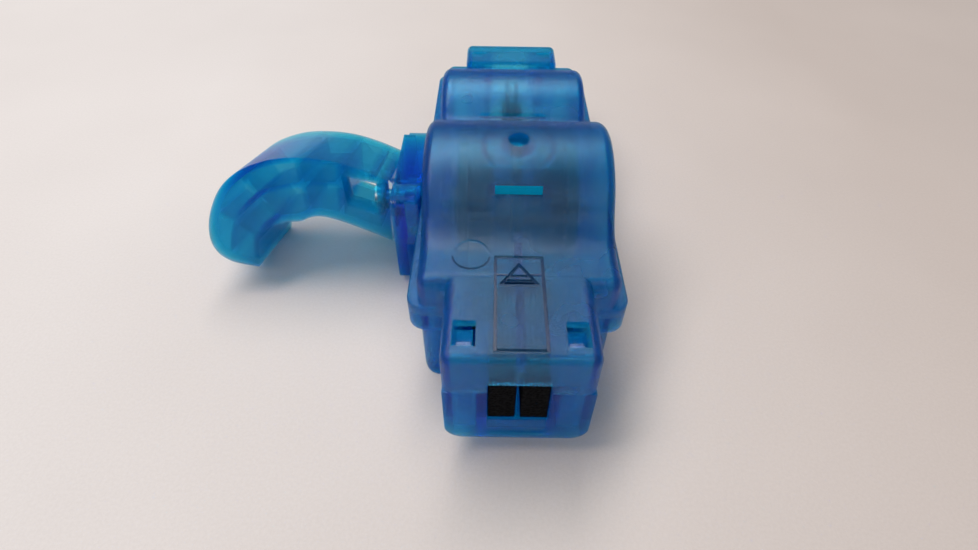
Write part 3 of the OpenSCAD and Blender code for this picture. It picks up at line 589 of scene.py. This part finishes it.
def cover_outline():
    y1, a1 = blend_place(MAIN_Y, MAIN_Z, MAIN_R, BLEND, DECK, -1)
    y2, a2 = blend_place(MAIN_Y, MAIN_Z, MAIN_R, VALLEY_R, VALLEY, 1)
    y3, a3 = blend_place(REAR_Y, REAR_Z, REAR_R, VALLEY_R, VALLEY, -1)
    y4, a4 = blend_place(REAR_Y, REAR_Z, REAR_R, FAR_BLEND, FAR_DECK, 1)
    p = [(NEAR_SH, FOOT)]
    p += arc(NEAR_SH + DECK_R, DECK - DECK_R, DECK_R, 180, 90, CORNER_STEP)
    p += arc(y1, DECK + BLEND, BLEND, 270, a1 + 180)
    p += arc(MAIN_Y, MAIN_Z, MAIN_R, a1 - HUMP_GAP, a2 + HUMP_GAP)
    p += arc(y2, VALLEY + VALLEY_R, VALLEY_R, a2 + 180, 270)
    p += arc(y3, VALLEY + VALLEY_R, VALLEY_R, 270, a3 + 180)
    p += arc(REAR_Y, REAR_Z, REAR_R, a3 - HUMP_GAP, a4 + HUMP_GAP)
    p += arc(y4, FAR_DECK + FAR_BLEND, FAR_BLEND, a4 + 180, 270)
    p += arc(FAR_SH - DECK_R, FAR_DECK - DECK_R, DECK_R, 90, 0, CORNER_STEP)
    p += [(FAR_SH, FOOT)]
    return clean(p)


def near_tongue():
    p = [(NEAR, PARTING)]
    p += arc(NEAR + TONGUE_R, DECK - TONGUE_R, TONGUE_R, 180, 90, TONGUE_STEP)
    p += [(NEAR_SH + WALL, DECK), (NEAR_SH + WALL, PARTING)]
    return lofted("near", clean(p), TONGUE_W, TONGUE_EDGE, PARTING)


def far_tongue():
    p = [(FAR_SH - WALL, PARTING), (FAR_SH - WALL, FAR_TONGUE)]
    p += arc(FAR - TONGUE_R, FAR_TONGUE - TONGUE_R, TONGUE_R, 90, 0, TONGUE_STEP)
    p += [(FAR, PARTING)]
    return lofted("far", clean(p), TONGUE_W, TONGUE_EDGE, PARTING)


def shoulder_fillet(side):
    """The hollow corner between the near tongue and the shoulder beside it."""
    r = FILLET_R
    cx = side * (TONGUE_W / 2 + r)
    inner = side * (TONGUE_W / 2 - WALL)
    p = [(inner, NEAR_SH + WALL), (cx, NEAR_SH + WALL)]
    turns = [math.radians(t) for t in range(90, -1, -10)]
    p += [(cx - side * r * math.cos(a), NEAR_SH - r + r * math.sin(a)) for a in turns]
    p += [(inner, NEAR_SH - r)]
    return prism("fillet", p, upright, PARTING, DECK - EDGE)


def cover_shell():
    """The cover's outer form with its hollow."""
    shell = lofted("cover", cover_outline(), COVER_W, EDGE, FOOT)
    joined = [
        near_tongue(),
        far_tongue(),
        rounded_plate("skirt", RIM_W, NEAR_SH, FAR_SH, RIM_R, PARTING, FOOT, RIM_EDGE),
        shoulder_fillet(-1),
        shoulder_fillet(1),
    ]
    combine(shell, joined, "UNION")
    low = PARTING - OVER
    inner = [(y, low if z <= FOOT + 1e-6 else z) for y, z in inset_on(cover_outline(), WALL, FOOT)]
    half = TONGUE_W / 2 - WALL
    return combine(shell, [
        prism("hollow", inner, across, -(COVER_W / 2 - WALL), COVER_W / 2 - WALL),
        block("hollow", -half, half, NEAR + WALL, NEAR_SH + 2 * WALL, low, DECK - WALL),
        block("hollow", -half, half, FAR_SH - 2 * WALL, FAR - WALL, low, FAR_DECK - WALL),
        block("hollow", -half, half, FAR_SH, FAR - WALL, FAR_DECK - 2 * WALL, FAR_TONGUE - WALL),
    ], "DIFFERENCE")


def ledge_wedge(name, thick):
    """The ledge's room, with thick more behind, below and beside it."""
    far, near = LEDGE_Y + thick, LEDGE_Y - LEDGE_RUN
    low, top = LEDGE_Z - thick, LEDGE_Z + LEDGE_RUN
    p = [(far, low), (far, top), (near, top), (near, low - LEDGE_RUN * LEDGE_FALL)]
    return prism(name, p, across, -LEDGE_HALF - thick, LEDGE_HALF + thick)


def cover_insides():
    """Ring and neck of the filler hole, ribs, tabs, keel and the wall behind the ledge."""
    centre = (0, FILLER_Y, 0)
    ring = cylinder("ring", centre, "Z", RING_R, FILLER_TOP - RING_DEPTH, FILLER_TOP + RING_SINK)
    combine(ring, [cylinder("ring", centre, "Z", RING_IN_R, 0, ABOVE)], "DIFFERENCE")
    inside = [ring, cylinder("neck", centre, "Z", NECK_R, FILLER_TOP - RING_DEPTH, FILLER_TOP)]
    for side in (-1, 1):
        for name, x0, x1, y0, y1, z0, z1 in SIDE_BLOCKS:
            inside.append(block(name, *sorted((side * x0, side * x1)), y0, y1, z0, z1))
    h = HALF_WALL
    inside.append(block("keel", -h, h, NEAR + h, KEEL_FAR, KEEL_LOW, DECK - h))
    inside.append(ledge_wedge("ledge_back", WALL))
    return inside


def trim_to_walls(pieces):
    """Cuts each piece off at half the depth of the cover's walls."""
    room = lofted("room", cover_outline(), COVER_W - WALL, EDGE, FOOT)
    half = TONGUE_W / 2 - HALF_WALL
    # Blocks in the tongues reach this far under the wide deck
    under = 4
    combine(room, [
        block("room", -half, half, NEAR + HALF_WALL, NEAR_SH + under, PARTING, DECK - HALF_WALL),
        block("room", -half, half, FAR_SH - under, FAR - HALF_WALL, PARTING, FAR_DECK - HALF_WALL),
    ], "UNION")
    for piece in pieces:
        trim = room.copy()
        trim.data = room.data.copy()
        scene.collection.objects.link(trim)
        combine(piece, [trim], "INTERSECT")
    discard(room)
    return pieces


def groove(a, b):
    """A straight groove in the deck from a to b, with square ends."""
    a, b = Vector(a), Vector(b)
    d = (b - a).normalized()
    s = Vector((-d.y, d.x)) * GROOVE_W / 2
    a, b = a - d * GROOVE_W / 2, b + d * GROOVE_W / 2
    p = [(q.x, q.y) for q in (a - s, b - s, b + s, a + s)]
    return prism("groove", p, upright, DECK - GROOVE_DEPTH, DECK + OVER)


def groove_loop(points):
    return [groove(a, b) for a, b in zip(points, points[1:] + points[:1])]


def ring_groove():
    """A circle that is cut into the deck and follows it up the blend."""
    n = 120
    y1 = blend_place(MAIN_Y, MAIN_Z, MAIN_R, BLEND, DECK, -1)[0]
    r0, r1 = MARK_R - MARK_W / 2, MARK_R + MARK_W / 2
    verts = []
    for i in range(n):
        a = 2 * math.pi * i / n
        for r, rise in ((r0, -MARK_DEPTH), (r1, -MARK_DEPTH), (r1, OVER), (r0, OVER)):
            x, y = MARK_X + r * math.cos(a), MARK_Y + r * math.sin(a)
            z = DECK + (BLEND - math.sqrt(BLEND ** 2 - (y - y1) ** 2) if y > y1 else 0)
            verts.append((x, y, z + rise))
    faces = []
    for i in range(n):
        faces += band(4 * i, 4 * ((i + 1) % n), 4)
    return new_object("mark", verts, faces)


def cover_cuts():
    """Ports, filler hole, slot, hook holes, ledge and the marks on the deck."""
    half = PORT_W / 2
    cuts = [
        block("port", -half, half, NEAR - OVER, NEAR + PORT_DEPTH, PORT_LOW, PORT_TOP),
        block("port", -half, half, FAR - PORT_DEPTH, FAR + OVER, PORT_LOW, PORT_TOP),
        cylinder("filler", (0, FILLER_Y, 0), "Z", FILLER_R, FILLER_FROM, ABOVE),
        block("slot", -SLOT_HALF, SLOT_HALF, *SLOT_Y, *SLOT_Z),
    ]
    for side in (-1, 1):
        x = side * HOOK_X
        for place, top, depth in ((NEAR_HOLE, DECK, NEAR_HOLE_DEPTH), (FAR_HOLE, FAR_TONGUE, FAR_HOLE_DEPTH)):
            cuts.append(block("hole", x - HOLE_HALF, x + HOLE_HALF, *place, top - depth, top + OVER))
    cuts.append(ledge_wedge("ledge", 0))
    x = FRAME_HALF
    cuts += groove_loop([(-x, FRAME_NEAR), (x, FRAME_NEAR), (x, FRAME_FAR), (-x, FRAME_FAR)])
    x = TRIANGLE_HALF
    cuts += groove_loop([(-x, TRIANGLE_BASE), (x, TRIANGLE_BASE), (0, TRIANGLE_TIP)])
    for k in (0, 1):
        y = TRIANGLE_BASE + BAR_OFF + BAR_STEP * k
        x = BAR_HALF - BAR_SHRINK * k
        cuts.append(groove((-x, y), (x, y)))
    cuts.append(ring_groove())
    return cuts


def make_cover():
    shell = cover_shell()
    combine(shell, trim_to_walls(cover_insides()), "UNION")
    combine(shell, cover_cuts(), "DIFFERENCE")
    finish_mesh(shell, bevel=0.22, angle=40)
    dress(shell, BLUE_COVER, "cover", "blue_cover", "upper_cover")
    # Painted light: the ledge's upright face is made bright as if lit from inside the wall.
    paint_light_and_shade(shell, BLUE_LIT, [LEDGE_ROOM])
    # Painted shade: the grooves of the frame, the triangle and the near half of the circle are darkened.
    paint_light_and_shade(shell, BLUE_GROOVE_SHADE, [FRAME_ROOM, MARK_ROOM])


make_cover()

# The case, the bracket and the button keep the solids' shapes, with their edges rounded


def dress_solid(node, name, body):
    obj = finish_mesh(from_cad(node, name), bevel=0.3, angle=35)
    dress(obj, BLUE_CASE, body, "blue_case", node)


dress_solid("lower_case", "case", "case")
dress_solid("handle_bracket", "bracket", "case")
dress_solid("lock_button", "button", "lock_button")

# The handle, drawn in shares of its reach and height and leaned about its pivot

LEAN = 18.0
PIVOT = Vector((0, -3.7, 19.82))
ROOT_X = -31.4
REACH = 47.6
HANDLE_H = 29.8
HANDLE_D = 27.0
HANDLE_NEAR = 12.0
PIVOT_SHARE = 0.534

OUTER_SHARES = [
    (0, 0.815), (0.143, 0.909), (0.286, 0.975), (0.443, 1), (0.601, 0.98), (0.767, 0.886), (0.889, 0.728),
    (0.971, 0.497), (1, 0.285), (0.977, 0.141), (0.916, 0.057), (0.842, 0.02), (0.76, 0),
]
INNER_SHARES = [
    (0.748, 0.1), (0.739, 0.228), (0.706, 0.315), (0.647, 0.393), (0.569, 0.433), (0.492, 0.443),
    (0.433, 0.48), (0.37, 0.49), (0.275, 0.453), (0.139, 0.369), (0, 0.275),
]
SPINE_SHARES = [
    (0.26, 0.765), (0.466, 0.758), (0.573, 0.728), (0.672, 0.681), (0.744, 0.611), (0.807, 0.517),
    (0.851, 0.409), (0.891, 0.218), (0.9, 0.06),
]
WINDOW_SHARES = [(0.225, 0.605), (0.245, 0.855), (0.066, 0.79), (0.066, 0.525)]
# Slanted ribs: a point on each, in shares, and its direction in degrees
SLANTED_RIBS = [((0.458, 0.748), 97), ((0.695, 0.644), 123), ((0.832, 0.4), 141)]
LONG_RIB_SHARE = 0.268
SHORT_RIB_SHARES = (0.11, 0.762)

SKIN = 1.8
FRONT = 1.6
RIB_W = 1.4
RIB_NEAR = 0.8
ROOT_BLOCK = 3
SLEEVE_WALL = 1.2
SLEEVE_D = 7.0
BOLT_R, BOLT_HEAD_R = 2.05, 4.0
BOLT_HEAD_X = ROOT_X - 6.5


def spline(p):
    """A smooth curve through some points."""
    steps = 10
    out = []
    n = len(p) - 1
    for i in range(n):
        a, b, c, d = (Vector(p[max(0, min(j, n))]) for j in range(i - 1, i + 3))
        for k in range(steps):
            t = k / steps
            q = 0.5 * (2 * b + (c - a) * t + (2 * a - 5 * b + 4 * c - d) * t * t
                       + (3 * b - a - 3 * c + d) * t ** 3)
            out.append((q.x, q.y))
    out.append(tuple(p[n]))
    return out


def handle_at(s):
    return (ROOT_X - REACH * s[0], HANDLE_H * (s[1] - PIVOT_SHARE))


def handle_curve(shares):
    return spline([handle_at(s) for s in shares])


def leaned(x, z, y):
    a = math.radians(-LEAN)
    return (x, PIVOT.y + y * math.cos(a) - z * math.sin(a), PIVOT.z + y * math.sin(a) + z * math.cos(a))


def handle_prism(outline, d0, d1, name="part"):
    """An outline in the handle's plane, drawn out between two depths behind its near face."""
    return prism(name, outline, leaned, d0 - HANDLE_NEAR, d1 - HANDLE_NEAR)


def strip(a, b):
    """A straight rib from a to b."""
    a, b = Vector(a), Vector(b)
    s = (b - a).normalized().orthogonal() * RIB_W / 2
    return [tuple(a - s), tuple(b - s), tuple(b + s), tuple(a + s)]


def spine_rib():
    """The curved rib along the middle of the arch."""
    p = [Vector(q) for q in handle_curve(SPINE_SHARES)]
    left, right = [], []
    for i in range(len(p)):
        d = (p[min(i + 1, len(p) - 1)] - p[max(i - 1, 0)]).normalized()
        s = Vector((d.y, -d.x)) * RIB_W / 2
        left.append(tuple(p[i] + s))
        right.append(tuple(p[i] - s))
    return left + right[::-1]


def handle_ribs():
    ribs = []
    for share, turn in SLANTED_RIBS:
        c = Vector(handle_at(share))
        a = math.radians(turn)
        d = Vector((math.cos(a), math.sin(a))) * HANDLE_H / 2
        ribs.append(strip(c - d, c + d))
    x = ROOT_X - REACH * LONG_RIB_SHARE
    ribs.append(strip((x, -HANDLE_H), (x, HANDLE_H)))
    x, z = handle_at(SHORT_RIB_SHARES)
    ribs.append(strip((x, z), (x, HANDLE_H)))
    ribs.append(spine_rib())
    x0, x1 = ROOT_X - ROOT_BLOCK, ROOT_X
    ribs.append([(x0, -HANDLE_H), (x1, -HANDLE_H), (x1, HANDLE_H), (x0, HANDLE_H)])
    return ribs


def make_handle():
    outline = clean(handle_curve(OUTER_SHARES) + handle_curve(INNER_SHARES), 0.02)
    body = handle_prism(outline, 0, HANDLE_D, "handle")
    combine(body, [handle_prism(inset(outline, -SKIN), FRONT, HANDLE_D + OVER)], "DIFFERENCE")
    made = []
    for rib in handle_ribs():
        within = handle_prism(outline, RIB_NEAR, HANDLE_D)
        made.append(combine(handle_prism(rib, RIB_NEAR, HANDLE_D), [within], "INTERSECT"))
    window = [handle_at(s) for s in WINDOW_SHARES]
    sleeve = handle_prism(inset(window, -SLEEVE_WALL), 0, SLEEVE_D)
    made.append(combine(sleeve, [handle_prism(outline, 0, SLEEVE_D)], "INTERSECT"))
    combine(body, made, "UNION")
    pivot = leaned(0, 0, 0)
    combine(body, [
        handle_prism(window, -OVER, SLEEVE_D + OVER),
        cylinder("bore", pivot, "X", BOLT_R, ROOT_X - ROOT_BLOCK - OVER, ROOT_X + OVER),
        cylinder("bore", pivot, "X", BOLT_HEAD_R, BOLT_HEAD_X, ROOT_X - ROOT_BLOCK),
    ], "DIFFERENCE")
    finish_mesh(body, bevel=0.3, angle=40)
    dress(body, BLUE_HANDLE, "handle", "blue_handle", "handle_grip")


make_handle()

# Brushes: finer strands in the places of the solids' own

WHEEL_Z = 26.0
GUIDE_Z = 21.5
ROLLER_Z = 9.5
FRONT_ROLLER_Y = -36.0
REAR_ROLLER_Y = 8.0
STRAND_SIDES = 3

# Side brushes: a disc, and tufts on rings of these radii, each with strands round a middle one
DISC_R = (8.3, 15.7)
DISC_X = (11.25, 11.8)
TUFT_RINGS = (9.3, 10.6, 11.9, 13.2, 14.5)
TUFT_PITCH = 2.1
TUFT_OUT = 6
TUFT_R = 0.33
TUFT_REACH = 14.9
TUFT_ROOT_X = 11.5
TUFT_TIP_X = 5.25
TUFT_TIP_UNEVEN = 0.3
TUFT_FAN = (0.9, 1.5)
TUFT_STRAY = 0.12
SIDE_STRAND_R = 0.11

# Rollers and guide wheel: tufts in rows round a sleeve
ROLLER_ROWS = [-8.4 + 1.4 * k for k in range(13)]
ROLLER_BANDS = ((-9.1, 9.1),)
ROLLER_R = (3.5, 6.75)
ROLLER_TUFTS = 10
GUIDE_ROWS = [-1.3, 1.3]
GUIDE_BANDS = ((-2.2, -0.4), (0.4, 2.2))
GUIDE_R = (4.5, 10.9)
GUIDE_TUFTS = 24
SLEEVE_SINK = 0.45
ROOT_SINK = 0.2
ROW_OUT = 4
# How far a row's strands stand from their middle one, round the axis in radians and along it
ROW_TURN, ROW_SIDE = 0.05, 0.26
ROW_TURN_STRAY, ROW_SIDE_STRAY = 0.015, 0.08
ROW_FAN = (1.0, 1.7)
ROW_TIP_UNEVEN = 0.35
ROW_STRAND_R = 0.12


def strand(verts, faces, root, tip, r):
    """A straight bristle that narrows to its tip."""
    root, tip = Vector(root), Vector(tip)
    d = (tip - root).normalized()
    u = d.orthogonal().normalized()
    v = d.cross(u)
    n = STRAND_SIDES
    k = len(verts)
    for at, rr in ((root, r), (tip, r * 0.8)):
        for i in range(n):
            a = 2 * math.pi * i / n
            verts.append(tuple(at + (u * math.cos(a) + v * math.sin(a)) * rr))
    faces += band(k, k + n, n)
    faces.append(tuple(k + i for i in range(n - 1, -1, -1)))
    faces.append(tuple(k + n + i for i in range(n)))


def tube_mesh(verts, faces, cy, cz, r_in, r_out, x0, x1):
    n = 72
    k = len(verts)
    turns = [2 * math.pi * i / n for i in range(n)]
    for x, r in ((x0, r_in), (x0, r_out), (x1, r_out), (x1, r_in)):
        verts += [(x, cy + r * math.cos(a), cz + r * math.sin(a)) for a in turns]
    for ring in range(4):
        faces += band(k + ring * n, k + (ring + 1) % 4 * n, n)


def finish_brush(name, verts, faces, body, node):
    me = bpy.data.meshes.new(name)
    me.from_pydata([tuple(Vector(v) * MM) for v in verts], [], faces)
    obj = bpy.data.objects.new(name, me)
    scene.collection.objects.link(obj)
    edit_mesh(me, outwards)
    shade(obj, 50)
    dress(obj, BLACK_BRISTLE, body, "black_bristle", node)


def side_brush(side, node):
    rng = random.Random(7 + side)
    verts, faces = [], []
    tube_mesh(verts, faces, MAIN_Y, WHEEL_Z, *DISC_R, *sorted(side * x for x in DISC_X))
    for row, r in enumerate(TUFT_RINGS):
        count = int(2 * math.pi * r / TUFT_PITCH)
        for i in range(count):
            a = 2 * math.pi * (i + row / 2) / count
            for k in range(TUFT_OUT + 1):
                t = 2 * math.pi * k / TUFT_OUT
                spread = 0 if k == TUFT_OUT else TUFT_R
                y = MAIN_Y + r * math.sin(a) + spread * math.cos(t)
                z = WHEEL_Z + r * math.cos(a) + spread * math.sin(t)
                fan = rng.uniform(*TUFT_FAN)
                ty = y + spread * math.cos(t) * fan + rng.uniform(-TUFT_STRAY, TUFT_STRAY)
                tz = z + spread * math.sin(t) * fan + rng.uniform(-TUFT_STRAY, TUFT_STRAY)
                far = math.hypot(ty - MAIN_Y, tz - WHEEL_Z)
                if far > TUFT_REACH:
                    ty = MAIN_Y + (ty - MAIN_Y) * TUFT_REACH / far
                    tz = WHEEL_Z + (tz - WHEEL_Z) * TUFT_REACH / far
                tip = (side * (TUFT_TIP_X + rng.uniform(0, TUFT_TIP_UNEVEN)), ty, tz)
                strand(verts, faces, (side * TUFT_ROOT_X, y, z), tip, SIDE_STRAND_R)
    finish_brush(node.replace("bristles", "tufts"), verts, faces, "main_brush_wheel", node)


side_brush(-1, "left_brush_bristles")
side_brush(1, "right_brush_bristles")


def radial_brush(body, cy, cz, radii, rows, per_row, bands, seed):
    """Tufts that stand out from a sleeve round an axis along X."""
    rng = random.Random(seed)
    r0, r1 = radii
    verts, faces = [], []
    for x0, x1 in bands:
        tube_mesh(verts, faces, cy, cz, r0 - SLEEVE_SINK, r0, x0, x1)
    root = r0 - ROOT_SINK
    for row, x in enumerate(rows):
        for i in range(per_row):
            a = 2 * math.pi * (i + (row % 2) / 2) / per_row
            for k in range(ROW_OUT + 1):
                t = 2 * math.pi * k / ROW_OUT
                da, dx = (0, 0) if k == ROW_OUT else (ROW_TURN * math.cos(t), ROW_SIDE * math.sin(t))
                fan = rng.uniform(*ROW_FAN)
                a0, a1 = a + da, a + da * fan + rng.uniform(-ROW_TURN_STRAY, ROW_TURN_STRAY)
                xt = x + dx * fan + rng.uniform(-ROW_SIDE_STRAY, ROW_SIDE_STRAY)
                tip = r1 - rng.uniform(0, ROW_TIP_UNEVEN)
                strand(verts, faces, (x + dx, cy + root * math.sin(a0), cz + root * math.cos(a0)),
                       (xt, cy + tip * math.sin(a1), cz + tip * math.cos(a1)), ROW_STRAND_R)
    finish_brush(body + "_tufts", verts, faces, body, body + "_bristles")


radial_brush("front_roller", FRONT_ROLLER_Y, ROLLER_Z, ROLLER_R, ROLLER_ROWS, ROLLER_TUFTS, ROLLER_BANDS, 3)
radial_brush("rear_roller", REAR_ROLLER_Y, ROLLER_Z, ROLLER_R, ROLLER_ROWS, ROLLER_TUFTS, ROLLER_BANDS, 4)
radial_brush("guide_wheel", REAR_Y, GUIDE_Z, GUIDE_R, GUIDE_ROWS, GUIDE_TUFTS, GUIDE_BANDS, 5)

# Foam blocks

FOAM_X = (0.5, 6.1)
FOAM_Y = (-67.2, -57.5)
FOAM_Z = (13.55, 25.5)
# Shares of the block where its edges begin to draw in, and how wide and how deep they do
FOAM_EDGE_SHARES = (0.42, 0.08, 0.03)
FOAM_UNEVEN_SHARE = 0.012


def foam_block(side, node):
    ranges = (tuple(sorted(side * x for x in FOAM_X)), FOAM_Y, FOAM_Z)
    centre = Vector([(low + high) / 2 for low, high in ranges])
    size = Vector([high - low for low, high in ranges])
    start, width, depth = FOAM_EDGE_SHARES
    bm = bmesh.new()
    bmesh.ops.create_cube(bm, size=1)
    bmesh.ops.subdivide_edges(bm, edges=bm.edges, cuts=17, use_grid_fill=True)
    rng = random.Random(11 + side)
    for v in bm.verts:
        p = v.co.copy()
        middle = sorted((abs(p.x), abs(p.y), abs(p.z)))[1]
        ease = max(0.0, (middle - start) / width)
        pull = 1 - depth * ease * ease - rng.uniform(0, FOAM_UNEVEN_SHARE)
        v.co = Vector((p.x * size.x, p.y * size.y, p.z * size.z)) * pull + centre
    me = bpy.data.meshes.new("foam")
    bm.to_mesh(me)
    bm.free()
    me.transform(Matrix.Scale(MM, 4))
    obj = bpy.data.objects.new("foam_" + node.split("_")[1], me)
    scene.collection.objects.link(obj)
    me.shade_smooth()
    dress(obj, FOAM, "case", "black_foam", node)


foam_block(-1, "sponge_left")
foam_block(1, "sponge_right")

# The nodes that keep the solids' own meshes

HARDWARE = {
    "main_axle": STEEL, "guide_axle": STEEL, "front_roller_axle": STEEL, "rear_roller_axle": STEEL,
    "main_bushes": WHITE_ACETAL, "guide_spacers": WHITE_ACETAL, "drive_sprocket": BLACK_WHEEL,
    "left_brush_hub": BLACK_HUB, "right_brush_hub": BLACK_HUB, "guide_wheel_hub": BLACK_HUB,
    "front_roller_core": BLACK_HUB, "rear_roller_core": BLACK_HUB, "bracket_screws": ZINC,
    "pivot_bolt": ZINC, "pivot_washer": ZINC, "pivot_nut": ZINC, "lock_spring": STEEL,
}
for node, material in HARDWARE.items():
    obj = bpy.data.objects[node]
    for slot in obj.material_slots:
        slot.material = material
    if not obj.material_slots:
        obj.data.materials.append(material)

# Floor, light and world

FLOOR_HALF = 4
FLOOR_Z = -0.00002


def cloth_material():
    """Pale cloth with soft folds and flecks, with painted shade that darkens it towards the right where the
    light falls off.
    """
    m = Nodes("pale_cloth")
    broad = m.noise(9.0, 3.0, 0.5)
    fleck = m.noise(1400.0, 3.0, 0.7)
    body = m.add("BsdfPrincipled", {"Roughness": 0.9, "Specular IOR Level": 0.2, "Sheen Weight": 0.15})
    place = m.add("SeparateXYZ")
    at = m.add("TexCoord")
    m.link(at.outputs["Object"], place.inputs[0])
    # Painted shade: the cloth darkens towards the right, as the light falls off there.
    along = m.ranged(place.outputs["X"], -0.12, 0.14)
    side = m.ramp(along, [(0.0, (1, 1, 1)), (1.0, (0.80, 0.74, 0.70))])
    folds = m.ramp(broad, [(0.3, (0.715, 0.665, 0.645)), (0.7, (0.76, 0.71, 0.69))])
    flecks = m.ramp(fleck, [(0.35, (0.55, 0.53, 0.52)), (0.65, (1, 1, 1))])
    m.link(m.multiply(0.10, m.multiply(1.0, folds, side), flecks), body.inputs["Base Color"])
    n = m.bump(broad, 0.5, 0.004)
    m.link(m.bump(fleck, 0.25, 0.0002, n), body.inputs["Normal"])
    m.link(body.outputs[0], m.out.inputs["Surface"])
    return m.mat


def make_floor():
    s = FLOOR_HALF
    verts = [(-s, -s, FLOOR_Z), (s, -s, FLOOR_Z), (s, s, FLOOR_Z), (-s, s, FLOOR_Z)]
    me = bpy.data.meshes.new("floor")
    me.from_pydata(verts, [], [(0, 1, 2, 3)])
    obj = bpy.data.objects.new("floor", me)
    scene.collection.objects.link(obj)
    me.materials.append(cloth_material())


make_floor()


def area_light(name, place, size, power, colour):
    """A rectangular light, in metres, that aims at the middle of the part."""
    data = bpy.data.lights.new(name, "AREA")
    data.shape = "RECTANGLE"
    data.size, data.size_y = size
    data.energy = power
    data.color = colour
    obj = bpy.data.objects.new(name, data)
    d = -Vector(place).normalized()
    obj.matrix_world = Matrix.Translation(place) @ d.to_track_quat("-Z", "Y").to_matrix().to_4x4()
    scene.collection.objects.link(obj)


area_light("ceiling", (-0.3, 0.22, 1.0), (1.4, 0.36), 12.2, (1.0, 0.985, 0.965))
area_light("behind", (0.0, -0.78, 0.9), (1.2, 0.2), 3.0, (0.97, 0.98, 1.0))

world = bpy.data.worlds.new("world")
world.use_nodes = True
background = world.node_tree.nodes["Background"]
background.inputs["Color"].default_value = (0.93, 0.95, 1.0, 1)
background.inputs["Strength"].default_value = 0.17
scene.world = world
scene.view_settings.view_transform = "Standard"
scene.cycles.transparent_max_bounces = 24
scene.cycles.transmission_bounces = 16
